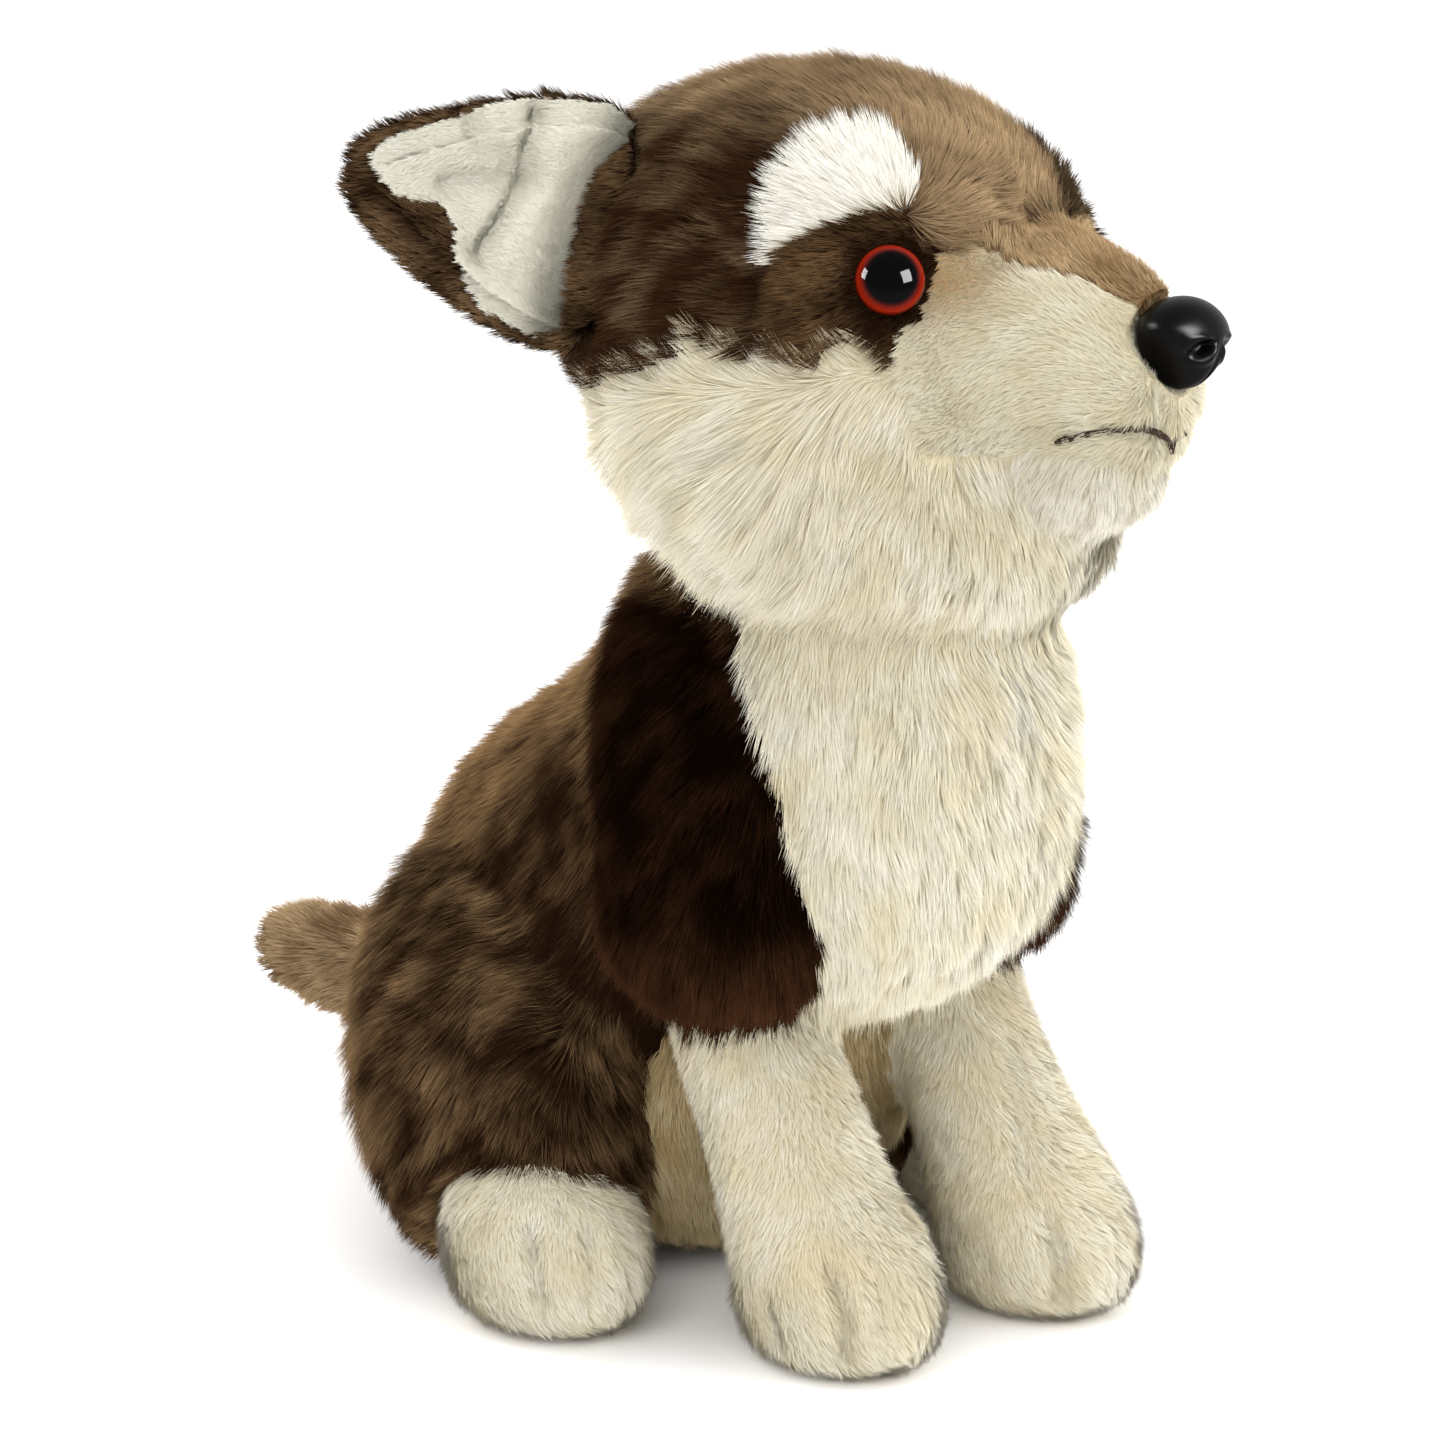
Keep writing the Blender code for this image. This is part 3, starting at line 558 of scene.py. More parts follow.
def find_creases(tree):
    mirrored = {"head": mirrored_in_head, "body": mirrored_in_body}
    creases = []
    for pixels, half_width, depth, twin in CREASES:
        path = pick(tree, pixels)
        creases.append((path, half_width, depth))
        if twin:
            creases.append((mirrored[twin](path), half_width, depth))
    return creases


def cheek_seam(head):
    """Height above the seam between crown and cheek, in the head's frame."""
    return head[:, 2] - CHEEK_SEAM[0] - head[:, 1] * math.tan(CHEEK_SEAM[1])


def cut_pattern(points, normals, owner, nodes):
    """Gives the head's cloth the outlines that the photograph shows for its patches, cheeks and muzzle."""
    head = to_head(points)
    twins, facing = near_side(points, normals)
    pixels = photo_pixels(twins)
    seam = cheek_seam(head)
    for height, wavelength, seed in SEAM_WAVES:
        seam = seam + height * drift(head, wavelength, seed)
    top = np.interp(pixels[:, 0], *np.array(CHEEK_TOP, dtype=float).T)
    below = np.where(facing & (pixels[:, 0] > CHEEK_TOP[0][0]), pixels[:, 1] > top, seam < 0)
    brow, eye, muzzle, bridge = (
        facing & inside_outline(pixels, np.array(outline, dtype=float))
        for outline in (BROW_OUTLINE, EYE_PATCH_OUTLINE, MUZZLE_OUTLINE, BRIDGE_OUTLINE)
    )
    behind = (head[:, 1] > FACE_DEPTH) | (head[:, 2] < -FACE_DEPTH)
    cut = owner.copy()
    for side, word in SIDES:
        own_side = head[:, 0] * side > 0
        cheek, brow_patch, eye_patch = (
            nodes.index(f"{word}_{name}") for name in ("cheek", "brow_patch", "eye_patch")
        )
        skin = np.isin(owner, (nodes.index("head_crown"), cheek, brow_patch, eye_patch)) & own_side
        cut[skin & ~behind] = np.where(below, cheek, nodes.index("head_crown"))[skin & ~behind]
        cut[skin & brow] = brow_patch
        cut[skin & eye] = eye_patch
        cut[skin & muzzle] = nodes.index("muzzle")
        front = np.isin(owner, [nodes.index(name) for name in ("muzzle", "bridge_strip")]) & own_side
        cut[(skin | front) & bridge] = nodes.index("bridge_strip")
        cut[front & muzzle & ~bridge] = nodes.index("muzzle")
    return cut


Form = namedtuple("Form", "verts quads normals owner nodes creases")


def make_wolf_form():
    """The sewn cover but for the ears: sunk under the outline by its pile, with its tucks pressed in."""
    nodes = list(SINGLE) + [f"{word}_{name}" for _, word in SIDES for name in SIDED]
    verts, quads = one_skin(nodes, VOXEL, CLOTH_SMOOTHING)
    owner = cut_pattern(verts, corner_normals(verts, quads), nearest_node(verts, nodes), nodes)
    inset = np.array([coat_of(node).inset for node in nodes])[owner]
    inset = average(inset, quads, INSET_PASSES)
    creases = find_creases(tree_of(verts, quads))
    normals = corner_normals(verts, quads)
    press = np.zeros(len(verts))
    for path, half_width, depth in creases:
        press = np.maximum(press, depth * np.exp(-((path_distance(verts, path) / half_width) ** 2)))
    verts = verts - normals * (inset + press + CLOSING)[:, None]
    return Form(verts, quads, corner_normals(verts, quads), owner, nodes, creases)


def ear_axes(side):
    flip = np.array((side, -1, 1))
    along = unit(EAR_ALONG * flip)
    across = EAR_ACROSS * flip
    across = unit(across - along * (across @ along))
    out = np.cross(along, across) * side
    return EAR_BASE * flip, along, across, out


def ear_plane(points, side):
    """Places on an ear as distance along it, across it and out of its front."""
    base, along, across, out = ear_axes(side)
    local = to_head(points) - base
    return np.stack((local @ along, local @ across, local @ out), axis=1)


def inside_outline(points, outline):
    """Which of the flat points lie inside a closed outline."""
    inside = np.zeros(len(points), dtype=bool)
    for first, second in zip(outline, np.roll(outline, -1, axis=0)):
        crosses = (first[1] > points[:, 1]) != (second[1] > points[:, 1])
        rise = second[1] - first[1]
        share = (points[:, 1] - first[1]) / (rise if rise else 1e-9)
        inside ^= crosses & (points[:, 0] < first[0] + share * (second[0] - first[0]))
    return inside


def make_ear_forms():
    """Both ears: the back wraps round the rim, and the lining fills the outline seen in the photograph."""
    forms = []
    shared = None
    for side, word in SIDES:
        nodes = [f"{word}_ear_back", f"{word}_ear_lining"]
        verts, quads = one_skin(nodes, EAR_VOXEL, EAR_SMOOTHING)
        if shared is None:
            tree = tree_of(verts, quads)
            shared = [pick(tree, LINING_OUTLINE)] + [pick(tree, path) for path in EAR_TUCKS]
        paths = shared if side < 0 else [mirrored_in_head(path) for path in shared]
        normals = corner_normals(verts, quads)
        facing = average(normals @ head_vector(ear_axes(side)[3]), quads, FACING_PASSES) > FACING_FRONT
        flat = ear_plane(verts, side)[:, :2]
        lined = facing & inside_outline(flat, ear_plane(paths[0], side)[:, :2])
        creases = [(path, *size) for path, size in zip(paths[1:], TUCK_SIZES)]
        press = np.where(lined, COATS["ear_lining"].inset, COATS["ear_back"].inset)
        verts = verts - normals * press[:, None]
        # A tuck bends the whole sheet of the ear backwards
        flat = ear_plane(verts, side) * np.array((1, 1, 0))
        for path, half_width, depth in creases:
            line = ear_plane(path, side) * np.array((1, 1, 0))
            hollow = depth * np.exp(-((path_distance(flat, line) / half_width) ** 2))
            verts = verts - head_vector(ear_axes(side)[3]) * hollow[:, None]
        forms.append(Form(verts, quads, corner_normals(verts, quads), lined.astype(int), nodes, creases))
    return forms


def scatter(form, weights, count, rng):
    """Even random places on a form, with their normals."""
    triangles = np.concatenate((form.quads[:, (0, 1, 2)], form.quads[:, (0, 2, 3)]))
    corners = form.verts[triangles]
    area = np.linalg.norm(np.cross(corners[:, 1] - corners[:, 0], corners[:, 2] - corners[:, 0]), axis=1)
    area = area * weights[form.owner[triangles]].mean(axis=1)
    chosen = rng.choice(len(triangles), size=count, p=area / area.sum())
    first, second = rng.random(count), rng.random(count)
    over = first + second > 1
    first[over], second[over] = 1 - first[over], 1 - second[over]
    shares = np.stack((1 - first - second, first, second), axis=1)
    places = (form.verts[triangles[chosen]] * shares[:, :, None]).sum(axis=1)
    normals = unit((form.normals[triangles[chosen]] * shares[:, :, None]).sum(axis=1))
    return places, normals


def weighted_area(form, weights):
    corners = form.verts[form.quads]
    across, along = corners[:, 2] - corners[:, 0], corners[:, 3] - corners[:, 1]
    area = np.linalg.norm(np.cross(across, along), axis=1) / 2
    return float((area * weights[form.owner[form.quads]].mean(axis=1)).sum())


# Which way a coat is brushed where that is the same all over, in the head's frame and in the body's
HEAD_COMBS = {"bridge_strip": (0, 1, 0.1), "chin": (0, 0.35, -1), "eye_patch": (0, 0.9, -0.35)}
BODY_COMBS = {
    "torso": (0, 0.35, -1),
    "shoulder_sleeve": (0, 0.12, -1),
    "chest_bib": (0, -0.05, -1),
    "tail": (0, 1, -0.1),
    "belly": (0, -0.3, -1),
}


def comb(name, side, body, head):
    """Which way the pile is brushed. body and head are the places in the body's frame and the head's."""
    count = len(body)
    lateral = np.sign(head[:, 0])
    ones = np.ones(count)
    brow = head - BROW_CENTRE * np.stack((lateral, ones, ones), axis=1)

    def constant(x, y, z):
        return np.stack((ones * x, ones * y, ones * z), axis=1)

    if name in HEAD_COMBS:
        return head_vector(constant(*HEAD_COMBS[name]))
    if name in BODY_COMBS:
        return constant(*BODY_COMBS[name])
    if name == "head_crown":
        flow = constant(0, 0.9, -0.25)
        flow[:, 0] = head[:, 0] * 11
        flow[:, 2] += ramp(-head[:, 1], 0.02, 0.055) * 0.7
        beside = ramp(-np.linalg.norm(brow, axis=1), -0.034, -0.020)[:, None]
        return head_vector(unit(flow) * (1 - beside) + unit(brow) * beside)
    if name == "cheek":
        centre = np.stack((lateral * 0.030, ones * -0.052, ones * 0.004), axis=1)
        flow = unit(head - centre) * 0.9 + constant(0, 0.25, -0.45)
        top = ramp(cheek_seam(head), -0.010, -0.001)[:, None]
        tuft = constant(0, 0.55, 0.5)
        return head_vector(flow * (1 - top) + tuft * top)
    if name == "muzzle":
        flow = constant(0, 0.9, -0.35)
        flow[:, 0] = head[:, 0] * 14
        return head_vector(flow)
    if name == "brow_patch":
        return head_vector(unit(brow) + constant(0, 0.3, 0.25))
    if name in ("ear_back", "ear_lining"):
        return head_vector(np.tile(ear_axes(side)[1], (count, 1)))
    if name == "thigh":
        swirl = 0.9 * drift(body, 0.045, 61)
        return np.stack((ones * 0, 0.35 + 0.6 * swirl, -1 + 0.3 * swirl), axis=1)
    # Legs and paws: down, and forwards over the toes
    flow = constant(0, -0.2, -1)
    flow[:, 1] -= ramp(-body[:, 2], -0.034, -0.012) * 1.2
    return flow


def mix(first, second, share):
    return first + (second - first) * share[:, None]


def lining_shade(points, normals):
    """How bright the ear's lining is: it sinks into shade where the ear meets the head."""
    twins, _ = near_side(points, normals)
    return 1 - LINING_SHADE * ramp(photo_pixels(twins) @ LINING_SHADE_AXIS, *LINING_SHADE_BAND)


def colour_pile(name, side, body, head, normals, rng):
    """The colour of each strand at its tip, and at its root."""
    coat = COATS[name]
    count = len(body)
    root, dark, light = linear(coat.root), linear(coat.dark), linear(coat.light)
    wander = 0.30 * drift(body, 0.020, 11) + 0.25 * drift(body, 0.008, 12) + rng.normal(0, 0.16, count)
    base, spread = TIP_SHARES.get(name, (0.5, 1))
    share = base + spread * wander
    if name == "head_crown":
        # The sides are dark, the top is lighter and the forehead lightest
        flank = np.abs(head[:, 0]) - 0.5 * head[:, 2]
        share += 0.52 * ramp(-flank, -0.034, 0.004) + 0.24 * ramp(-head[:, 1], 0.020, 0.052)
    # Painted rim light: torso and thigh tips are lighter where the cloth faces backwards
    if name == "torso":
        share += 0.60 * ramp(normals[:, 1], 0.05, 0.62)
    if name == "thigh":
        share += 0.55 * ramp(normals[:, 1], 0.0, 0.55)
    if name == "shoulder_sleeve":
        share += ramp(-body[:, 2], -0.112, -0.084) * 0.8 + ramp(body[:, 1], 0.045, 0.070) * 0.5
    if name == "eye_patch":
        # Painted shade: the tips darken round the eye's seat and towards the front, between eye and muzzle
        eye = np.linalg.norm(head - EYE_CENTRE * np.array((side, 1, 1)), axis=1)
        share -= ramp(-eye, -0.013, -0.009) * 0.4 + ramp(-head[:, 1], 0.048, 0.058) * 0.5
    tip = mix(dark[None, :], light[None, :], np.clip(share, 0, 1))
    if name in ("chest_bib", "front_leg", "hind_paw", "chin"):
        stain = np.clip(drift(body, 0.026, 21) - 0.25, 0, 1) * 0.35
        tip = mix(tip, linear(STAIN)[None, :], stain)
    if name == "cheek":
        twins, facing = near_side(body + SHIFT, normals)
        pixels = photo_pixels(twins)
        depth = pixels[:, 1] - np.interp(pixels[:, 0], *np.array(CHEEK_TOP, dtype=float).T)
        edge = np.where(facing, ramp(-depth, -34, 0), ramp(cheek_seam(head), -0.012, -0.001))
        tip = mix(tip, linear(CHEEK_EDGE)[None, :], edge * rng.uniform(0.1, 0.9, count))
        root = root * (1 - 0.5 * edge[:, None])
    if name == "muzzle":
        # Airbrushed tan beside the eye, fading down and forwards
        pixels = photo_pixels(near_side(body + SHIFT, normals)[0])
        corner = np.linalg.norm((pixels - MUZZLE_TAN) / MUZZLE_TAN_REACH, axis=1)
        tan = ramp(-corner, -1.0, -0.10) * 0.95
        tip = mix(tip, linear(AIRBRUSH)[None, :], tan)
        root = root * (1 - 0.4 * tan[:, None])
    jitter = rng.uniform(0.94, 1.05, count)[:, None]
    root_share = rng.uniform(0.0, 0.25, count)
    if name == "ear_lining":
        shade = lining_shade(body + SHIFT, normals)[:, None]
        tip, root = tip * shade, root * shade
    root = np.broadcast_to(root, tip.shape)
    return tip * jitter, mix(root, tip, root_share)


def clump_centres(places, spacing, rng):
    """Each strand's clump, as the index of the strand at its middle."""
    low, high = places.min(axis=0), places.max(axis=0)
    cells = np.floor((places - low) / spacing + rng.random(3)).astype(np.int64)
    spans = np.floor((high - low) / spacing).astype(np.int64) + 3
    keys = (cells[:, 0] * spans[1] + cells[:, 1]) * spans[2] + cells[:, 2]
    _, picked = np.unique(keys, return_index=True)
    tree = KDTree(len(picked))
    for index in picked:
        tree.insert(Vector(places[index]), int(index))
    tree.balance()
    return np.array([tree.find(Vector(place))[1] for place in places])


def grow(name, side, places, normals, creases, shades, rng):
    """Strands as thin triangles: their corners, their colours and the direction they are lit from."""
    coat = COATS[name]
    count = len(places)
    body, head = places - SHIFT, to_head(places)
    flow = comb(name, side, body, head)
    clump = clump_centres(places, coat.clump, rng)
    own = rng.random(count)
    tangent = unit(flow - normals * (flow * normals).sum(axis=1, keepdims=True))
    swing = 0.32 * drift(body, 0.030, 41) + 0.35 * (own[clump] - 0.5) + rng.normal(0, 0.10, count)
    tangent = tangent * np.cos(swing)[:, None] + np.cross(normals, tangent) * np.sin(swing)[:, None]
    lift = np.radians(coat.lift + 14 * (own[clump] - 0.5) + rng.normal(0, 7, count))
    length = coat.length * rng.uniform(0.70, 1.10, count) * (0.90 + 0.20 * own[clump]) * shades
    if name == "cheek":
        length *= 1 - 0.40 * ramp(cheek_seam(head), -0.012, -0.002) - 0.45 * ramp(-head[:, 1], 0.034, 0.052)
    tuck = np.zeros(count)
    for path, half_width, depth in creases:
        near = np.exp(-((path_distance(places, path) / (half_width * 0.8)) ** 2))
        tuck = np.maximum(tuck, near * min(1, depth / 0.004))
    length *= 1 - 0.35 * tuck
    lie = tangent * np.cos(lift)[:, None] + normals * np.sin(lift)[:, None]
    tip = places + lie * length[:, None]
    tip = tip + (tip[clump] - tip) * coat.pull * rng.uniform(0.4, 1.0, count)[:, None]
    tip[:, 2] = np.maximum(tip[:, 2], LOWEST_TIP)
    across = unit(np.cross(lie, normals))
    roll = rng.normal(0, 0.25, count)[:, None]
    across = unit(across * np.cos(roll) + normals * np.sin(roll))
    half = (coat.width * rng.uniform(0.7, 1.25, count) / 2)[:, None]
    corners = np.stack((places - across * half, places + across * half, tip), axis=1)
    tip_colour, root_colour = colour_pile(name, side, body, head, normals, rng)
    depth_of_shade = 0.22 if name == "ear_lining" else 0.38
    shade = (1 - depth_of_shade * tuck)[:, None] ** np.array((1.0, 1.15, 1.4))
    colours = np.stack((root_colour * shade, root_colour * shade, tip_colour * shade), axis=1)
    # Each strand is lit as the cloth under it is, a little more from above and a little astray
    astray = 0.09 * rng.normal(size=(count, 3)) + 0.09 * rng.normal(size=(count, 3))[clump]
    lit = unit(normals + np.array((0, 0, LIT_RISE)) + astray)
    return corners, colours, lit


def pile_piece(name, corners, colours, lit, material, node):
    count = len(corners)
    mesh = build_mesh(name, corners.reshape(-1, 3), np.arange(count * 3), np.arange(count) * 3)
    paint(mesh, colours.reshape(-1, 3))
    directions = np.repeat(lit, 3, axis=0).astype(np.float32).ravel()
    for layer_name in ("custom_normal", "lit_from"):
        layer = mesh.attributes.new(layer_name, "FLOAT_VECTOR", "POINT")
        layer.data.foreach_set("vector", directions)
    grid = math.ceil(math.sqrt(count))
    cell = np.stack((np.arange(count) % grid, np.arange(count) // grid), axis=1)[:, None, :]
    layer = mesh.uv_layers.new(name="OFBake")
    inner = np.array(((0.1, 0.06), (0.9, 0.06), (0.5, 0.94)))
    layer.data.foreach_set("uv", ((cell + inner[None]) / grid).astype(np.float32).ravel())
    piece = place_piece(name, mesh, material, [node])
    # Real fibre lets light through to its neighbours, and the cloth casts the form's own shadow
    piece.visible_shadow = False


def set_inputs(node, values):
    for name, value in values.items():
        node.inputs[name].default_value = value


def simple_material(name, colour, roughness, specular=0.5):
    made = bpy.data.materials.new(name)
    made.use_nodes = True
    values = {"Base Color": (*linear(colour), 1), "Roughness": roughness, "Specular IOR Level": specular}
    set_inputs(made.node_tree.nodes["Principled BSDF"], values)
    return made


def roughen(made, texture, scale, strength, distance):
    """Gives a material the relief of a texture."""
    nodes, links = made.node_tree.nodes, made.node_tree.links
    relief = nodes.new(texture)
    set_inputs(relief, {"Scale": scale})
    bump = nodes.new("ShaderNodeBump")
    set_inputs(bump, {"Strength": strength, "Distance": distance})
    links.new(relief.outputs[0], bump.inputs["Height"])
    links.new(bump.outputs["Normal"], nodes["Principled BSDF"].inputs["Normal"])


def colour_by(made, value, stops):
    """Colours a material by a value from 0 to 1."""
    nodes, links = made.node_tree.nodes, made.node_tree.links
    colours = nodes.new("ShaderNodeValToRGB")
    elements = colours.color_ramp.elements
    while len(elements) < len(stops):
        elements.new(0.5)
    for element, (position, colour) in zip(elements, stops):
        element.position = position
        element.color = (*linear(colour), 1)
    links.new(value, colours.inputs["Fac"])
    links.new(colours.outputs["Color"], nodes["Principled BSDF"].inputs["Base Color"])


def pile_material(name, roughness, sheen, tint, mottle, strands=True):
    """Fibre: the strand's own colour, finely mottled, with a soft sheen."""
    made = simple_material(name, (200, 190, 170), roughness, 0.0)
    nodes, links = made.node_tree.nodes, made.node_tree.links
    shader = nodes["Principled BSDF"]
    colour = nodes.new("ShaderNodeAttribute")
    colour.attribute_name = "pile_colour"
    place = nodes.new("ShaderNodeTexCoord")
    noise = nodes.new("ShaderNodeTexNoise")
    set_inputs(noise, {"Scale": 420, "Detail": 2})
    spread = nodes.new("ShaderNodeMapRange")
    set_inputs(spread, {"To Min": 1 - mottle, "To Max": 1 + mottle})
    scale = nodes.new("ShaderNodeVectorMath")
    scale.operation = "SCALE"
    links.new(place.outputs["Object"], noise.inputs["Vector"])
    links.new(noise.outputs["Fac"], spread.inputs["Value"])
    links.new(colour.outputs["Color"], scale.inputs[0])
    links.new(spread.outputs["Result"], scale.inputs["Scale"])
    links.new(scale.outputs["Vector"], shader.inputs["Base Color"])
    if strands:
        # A strand is lit as the cloth under it is, also where its back is seen
        lit_from = nodes.new("ShaderNodeAttribute")
        lit_from.attribute_name = "lit_from"
        turn = nodes.new("ShaderNodeVectorTransform")
        turn.vector_type = "NORMAL"
        turn.convert_from = "OBJECT"
        turn.convert_to = "WORLD"
        links.new(lit_from.outputs["Vector"], turn.inputs["Vector"])
        links.new(turn.outputs["Vector"], shader.inputs["Normal"])
    set_inputs(shader, {"Sheen Weight": sheen, "Sheen Roughness": 0.4, "Sheen Tint": (*linear(tint), 1)})
    return made


def cloth_material():
    """Backing cloth under the pile: its root colour, with a knitted bump."""
    made = pile_material("backing_cloth", 0.95, 0.0, (255, 255, 255), 0.10, strands=False)
    roughen(made, "ShaderNodeTexVoronoi", 900, 0.5, 0.0004)
    return made


def cloth_piece(name, form, material):
    loops = form.quads.ravel()
    mesh = build_mesh(name, form.verts, loops, np.arange(len(form.quads)) * 4)
    roots = np.array([(linear(coat_of(node).root) + linear(coat_of(node).dark)) / 2 for node in form.nodes])
    colours = roots[form.owner]
    if "ear" in name:
        shade = lining_shade(form.verts, form.normals)
        colours = colours * np.where(form.owner == 1, shade, 1)[:, None]
    paint(mesh, colours)
    piece = place_piece(name, mesh, material, form.nodes)


def side_of(node):
    return -1 if node.startswith("right") else 1


def dress(forms, materials):
    """Grows the pile on every form and makes one piece of it for each node."""
    rng = np.random.default_rng(SEED)
    total = STRANDS * 1
    weights = [np.array([coat_of(node).density for node in form.nodes]) for form in forms]
    areas = [weighted_area(form, weight) for form, weight in zip(forms, weights)]
    keep_off = [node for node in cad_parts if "ear" in node or node.endswith("eye") or node == "nose"]
    for form, weight, area in zip(forms, weights, areas):
        count = int(total * area / sum(areas))
        places, normals = scatter(form, weight, count, rng)
        # A strand belongs to the closest corner of the cloth
        tree = KDTree(len(form.verts))
        for index, vert in enumerate(form.verts):
            tree.insert(Vector(vert), index)
        tree.balance()
        owner = form.owner[np.array([tree.find(Vector(place))[1] for place in places])]
        clear = np.ones(count, dtype=bool)
        shades = np.ones(count)
        if len(form.nodes) > 2:
            clear, shades = clear_of(places, keep_off)
            clear &= (places[:, 2] > SOLE) | (normals[:, 2] > DOWNWARD)
        for index, node in enumerate(form.nodes):
            chosen = (owner == index) & clear
            name = node.split("_", 1)[1] if node.startswith(("right_", "left_")) else node
            rooted = places[chosen], normals[chosen]
            strands = grow(name, side_of(node), *rooted, form.creases, shades[chosen], rng)
            pile_piece(f"{node}_pile", *strands, materials[COATS[name].kind], node)


def clear_of(places, nodes):
    """Which strands stand clear of the eyes, nose and ears, and how much shorter they are beside them."""
    distance = np.full(len(places), 1.0)
    for node in nodes:
        verts, triangles = read_node(node)
        low, high = verts.min(axis=0) - SEARCH_REACH, verts.max(axis=0) + SEARCH_REACH
        near = np.flatnonzero(((places > low) & (places < high)).all(axis=1))
        tree = BVHTree.FromPolygons(verts.tolist(), triangles.tolist())
        for index in near:
            distance[index] = min(distance[index], tree.find_nearest(Vector(places[index]))[3])
    longer = ramp(distance, *SHORT_BESIDE_PARTS)
    return distance > CLEAR_OF_PARTS, SHORTEST_BESIDE_PARTS + (1 - SHORTEST_BESIDE_PARTS) * longer


def eye_axis(word):
    """The middle of an eye's seat on the face, and its outward direction."""
    eye, _ = read_node(f"{word}_eye")
    washer, _ = read_node(f"{word}_eye_washer")
    axis = unit(eye.mean(axis=0) - washer.mean(axis=0))
    return washer.mean(axis=0) + axis * EYE_SEAT, axis


def frame_on(place, axis):
    turn = Vector(axis).to_track_quat("Z", "Y").to_matrix().to_4x4()
    return Matrix.Translation(Vector(place)) @ turn


def eye_material():
    """A glossy dome coloured as a safety eye's iris: black pupil, red-orange ring, dark rim."""
    made = simple_material("safety_eye", (10, 6, 5), 0.04, 0.05)
    reach = made.node_tree.nodes.new("ShaderNodeAttribute")
    reach.attribute_name = "reach"
    colour_by(made, reach.outputs["Fac"], IRIS)
    return made


def make_eye(word, material):
    place, axis = eye_axis(word)
    rings, steps = 20, 64
    profile = [(EYE_RADIUS * 0.96, -0.0008), (EYE_RADIUS, -0.0002), (EYE_RADIUS, 0.0005)]
    for ring in range(1, rings + 1):
        turn = math.pi / 2 * ring / rings
        profile.append((EYE_RADIUS * 0.985 * math.cos(turn), 0.0005 + EYE_DOME * math.sin(turn)))
    bm = bmesh.new()
    layer = bm.verts.layers.float.new("reach")
    rows = []
    for radius, height in profile[:-1]:
        row = []
        for step in range(steps):
            angle = math.tau * step / steps
            vert = bm.verts.new((radius * math.cos(angle), radius * math.sin(angle), height))
            vert[layer] = radius / EYE_RADIUS
            row.append(vert)
        rows.append(row)
    top = bm.verts.new((0, 0, profile[-1][1]))
    for lower, upper in zip(rows, rows[1:]):
        for step in range(steps):
            following = (step + 1) % steps
            bm.faces.new((lower[step], lower[following], upper[following], upper[step]))
    for step in range(steps):
        bm.faces.new((rows[-1][step], rows[-1][(step + 1) % steps], top))
    bm.faces.new(list(reversed(rows[0])))
    bm.transform(frame_on(place, axis))
    name = f"{word}_eye_dome"
    place_piece(name, smooth_mesh(name, bm), material, [f"{word}_eye"])


def make_nose():
    """A moulded nose: broad on top, pointed below, with a middle groove and two comma-shaped nostrils."""
    bm = bmesh.new()
    bmesh.ops.create_uvsphere(bm, u_segments=120, v_segments=80, radius=1)
    for vert in bm.verts:
        x, y, z = vert.co
        front = max(0, z)
        taper = 1 - 0.62 * float(ramp(-y, -0.45, 1.0))
        top = 0.86 if y > 0 else 1.0
        groove = math.exp(-((x / 0.09) ** 2)) * max(0, min(1, 0.15 - y))
        across, up = abs(x) - NOSTRIL[0], y - NOSTRIL[1]
        rim = math.exp(-((math.hypot(across / 0.34, up / 0.32) - 0.85) ** 2) / 0.06)
        hollow = math.exp(-(math.hypot(across / 0.29, (up + 0.45 * across) / 0.16) ** 4))
        reach = 1 + (RIM_HEIGHT * rim - NOSTRIL_DEPTH * hollow - GROOVE_DEPTH * groove) * front
        place = (x * taper * NOSE_HALF[0], y * top * NOSE_HALF[1], z * NOSE_HALF[2])
        vert.co = Vector(place) * reach
    turn = Matrix(((1, 0, 0), (0, 0, -1), (0, 1, 0))).to_4x4()
    head = Matrix.Translation(Vector(HEAD_CENTRE)) @ Matrix(HEAD_TURNING.tolist()).to_4x4()
    bm.transform(head @ Matrix.Translation(NOSE_PLACE) @ turn)
    mesh = smooth_mesh("nose_moulding", bm)
    made = simple_material("moulded_nose", (7, 6, 6), 0.30, 0.05)
    roughen(made, "ShaderNodeTexNoise", 900, 0.12, 0.0002)
    place_piece("nose_moulding", mesh, made, ["nose"])


def make_mouth(tree):
    """Embroidered mouth: short slanted stitches along the lip."""
    right = pick(tree, MOUTH_PATH)
    left = mirrored_in_head(right)[::-1]
    path = np.concatenate((right, left[1:]))
    fine = []
    for start, end in zip(path[:-1], path[1:]):
        steps = max(1, round(np.linalg.norm(end - start) / STITCH_STEP))
        fine += [start + (end - start) * step / steps for step in range(steps)]
    fine = np.array(fine)
    rng = np.random.default_rng(3)
    bm = bmesh.new()
    for start, end in zip(fine[:-1], fine[1:]):
        run = Vector(end - start)
        if run.length < 1e-6:
            continue
        slant = Vector(VIEW_UP) * STITCH_SLANT * rng.uniform(0.3, 1.0)
        middle = Vector((start + end) / 2) + slant * rng.uniform(-0.4, 0.4)
        direction = (run.normalized() * STITCH_REACH + slant).normalized()
        turn = direction.to_track_quat("Z", "Y").to_matrix().to_4x4()
        place = Matrix.Translation(middle) @ turn @ Matrix.Diagonal(STITCH_HALF)
        bmesh.ops.create_uvsphere(bm, u_segments=8, v_segments=6, radius=1, matrix=place)
    mesh = smooth_mesh("mouth_thread", bm)
    made = simple_material("embroidery_thread", (38, 24, 19), 0.85, 0.05)
    noise = made.node_tree.nodes.new("ShaderNodeTexNoise")
    set_inputs(noise, {"Scale": 1500})
    colour_by(made, noise.outputs["Fac"], THREAD)
    place_piece("mouth_thread", mesh, made, ["mouth_stitch"])


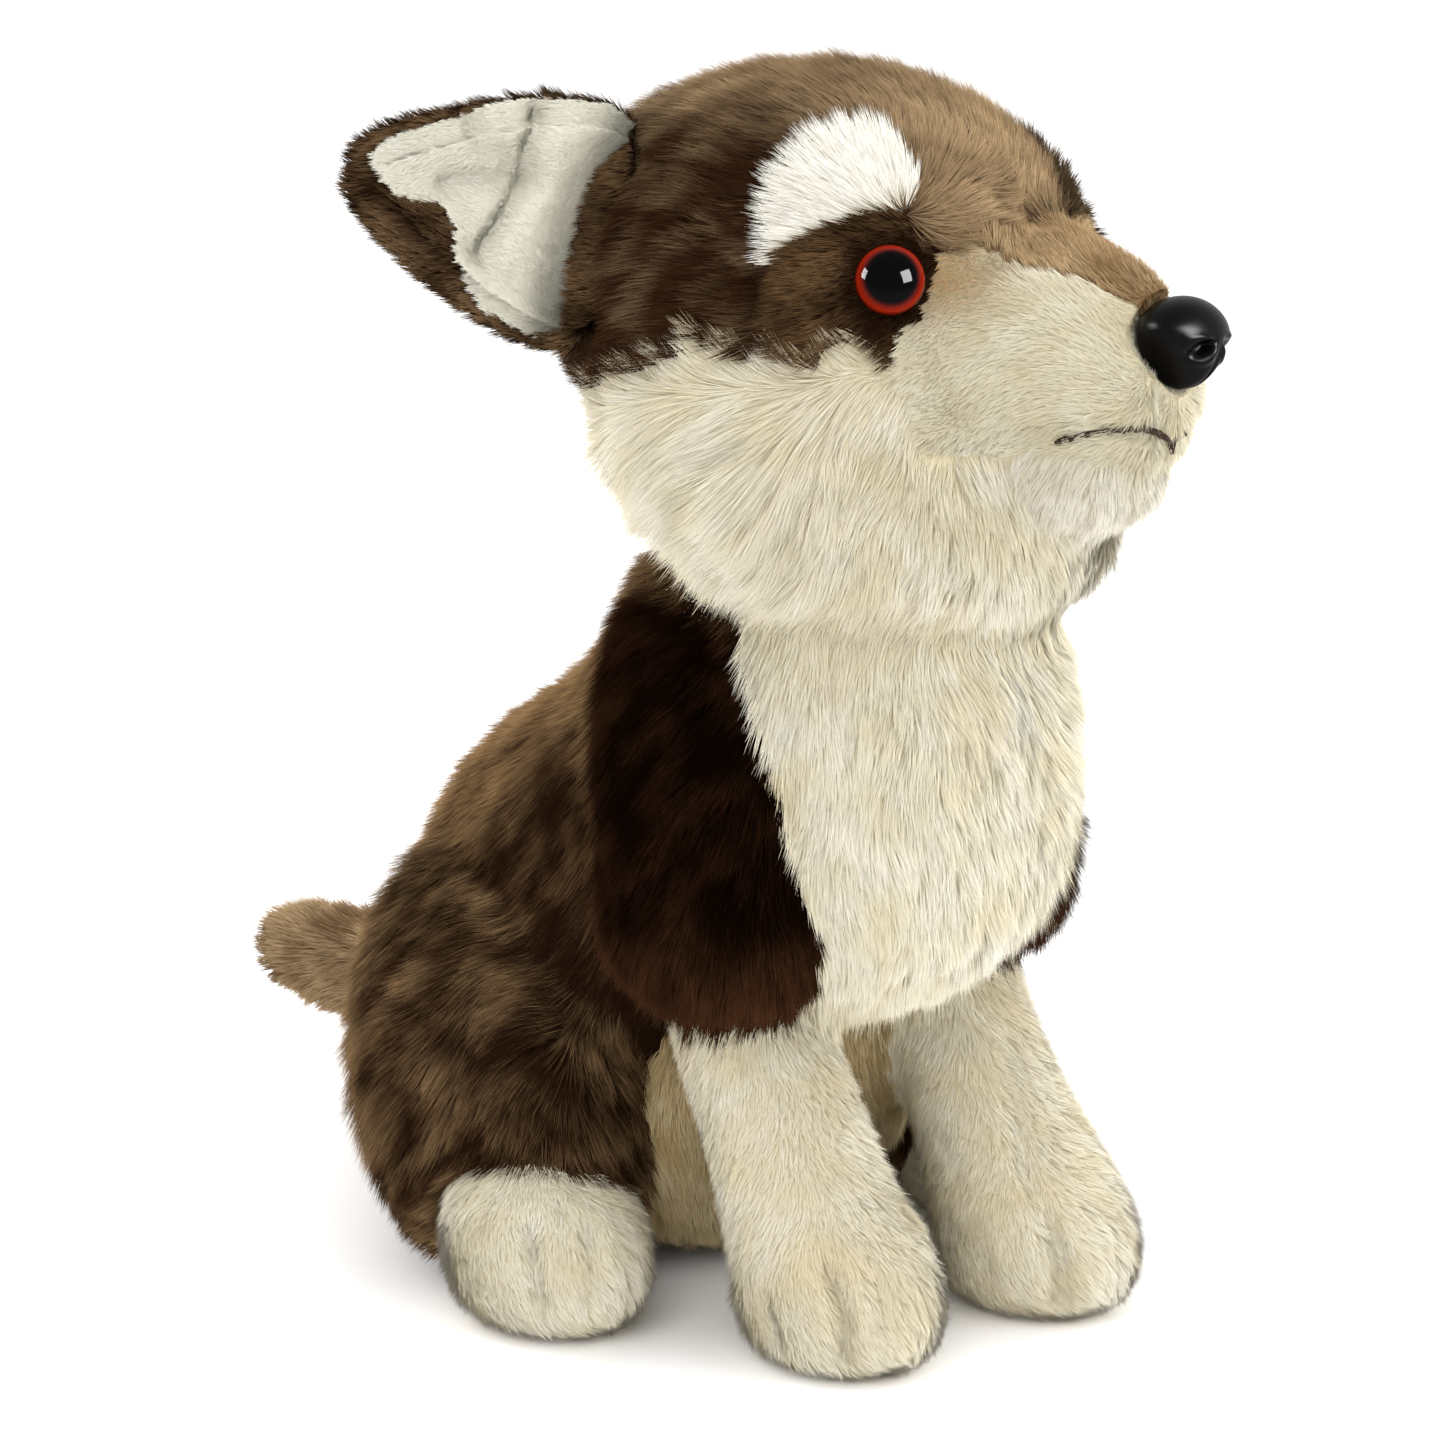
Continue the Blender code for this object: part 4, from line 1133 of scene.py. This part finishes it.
def make_washers():
    """The push-on washers are hidden in the head and keep their shape."""
    made = simple_material("clear_washer", (222, 224, 222), 0.35)
    for node in ("nose_washer", "right_eye_washer", "left_eye_washer"):
        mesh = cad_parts[node].data
        mesh.materials.clear()
        mesh.materials.append(made)


def make_stage():
    bm = bmesh.new()
    bmesh.ops.create_grid(bm, x_segments=1, y_segments=1, size=FLOOR_HALF)
    mesh = smooth_mesh("floor", bm)
    floor = bpy.data.objects.new("floor", mesh)
    bpy.context.scene.collection.objects.link(floor)
    mesh.materials.append(simple_material("pale_floor", (252, 251, 250), 0.9, 0.1))
    make_world()
    bpy.context.scene.view_settings.view_transform = "Standard"


def make_world():
    """A light tent: bright overhead and dimmer at the level of the eyes, with a white backdrop."""
    world = bpy.data.worlds.new("light_tent")
    world.use_nodes = True
    nodes, links = world.node_tree.nodes, world.node_tree.links
    set_inputs(nodes["Background"], {"Color": (1, 1, 1, 1)})
    direction = nodes.new("ShaderNodeTexCoord")
    parts = nodes.new("ShaderNodeSeparateXYZ")
    rise = nodes.new("ShaderNodeMapRange")
    set_inputs(rise, {"From Min": 0.0, "From Max": 1.0, "To Min": TENT_LOW, "To Max": TENT_HIGH})
    links.new(direction.outputs["Generated"], parts.inputs["Vector"])
    links.new(parts.outputs["Z"], rise.inputs["Value"])
    # The backdrop itself is white, also where gloss shows it
    path = nodes.new("ShaderNodeLightPath")
    shown = path.outputs["Is Camera Ray"]
    for ray in ("Is Glossy Ray", "Is Transmission Ray"):
        either = nodes.new("ShaderNodeMath")
        either.operation = "MAXIMUM"
        links.new(shown, either.inputs[0])
        links.new(path.outputs[ray], either.inputs[1])
        shown = either.outputs["Value"]
    strength = nodes.new("ShaderNodeMix")
    set_inputs(strength, {"B": 1.0})
    links.new(shown, strength.inputs["Factor"])
    links.new(rise.outputs["Result"], strength.inputs["A"])
    links.new(strength.outputs["Result"], nodes["Background"].inputs["Strength"])
    bpy.context.scene.world = world


def softbox(name, size, radiance, turn, rise, reflected):
    """A square softbox. A reflected one only shows in gloss, and the others never do."""
    light = bpy.data.lights.new(name, "AREA")
    light.shape = "SQUARE"
    light.size = size
    light.energy = radiance * math.pi * size * size
    obj = bpy.data.objects.new(name, light)
    bpy.context.scene.collection.objects.link(obj)
    bearing = AZIMUTH + math.radians(turn)
    level = np.array((math.sin(bearing), -math.cos(bearing), 0)) * math.cos(math.radians(rise))
    aim = level + np.array((0, 0, math.sin(math.radians(rise))))
    obj.location = TARGET + aim * SOFTBOX_DISTANCE
    obj.rotation_euler = Vector(-aim).to_track_quat("-Z", "Y").to_euler()
    obj.visible_diffuse = not reflected
    obj.visible_glossy = reflected


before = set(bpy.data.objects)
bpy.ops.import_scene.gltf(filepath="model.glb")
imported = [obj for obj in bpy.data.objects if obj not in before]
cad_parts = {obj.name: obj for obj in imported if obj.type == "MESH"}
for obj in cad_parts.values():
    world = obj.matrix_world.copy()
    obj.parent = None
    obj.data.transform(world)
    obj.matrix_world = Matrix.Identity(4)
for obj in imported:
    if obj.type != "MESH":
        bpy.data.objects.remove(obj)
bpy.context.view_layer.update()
make_camera()
make_stage()
for box in SOFTBOXES:
    softbox(*box)

wolf_form = make_wolf_form()
ear_forms = make_ear_forms()
backing = cloth_material()
cloth_piece("wolf_cloth", wolf_form, backing)
for ear_word, ear_form in zip(("right", "left"), ear_forms):
    cloth_piece(f"{ear_word}_ear_cloth", ear_form, backing)
piles = {
    "brown": pile_material("brown_pile", 0.90, 0.0, (214, 170, 120), 0.13),
    "cream": pile_material("cream_pile", 0.90, 0.10, (255, 250, 236), 0.05),
}
dress([wolf_form, *ear_forms], piles)
eye_surface = eye_material()
for _, eye_word in SIDES:
    make_eye(eye_word, eye_surface)
make_nose()
make_mouth(tree_of(wolf_form.verts + wolf_form.normals * STITCH_LIFT, wolf_form.quads))
make_washers()
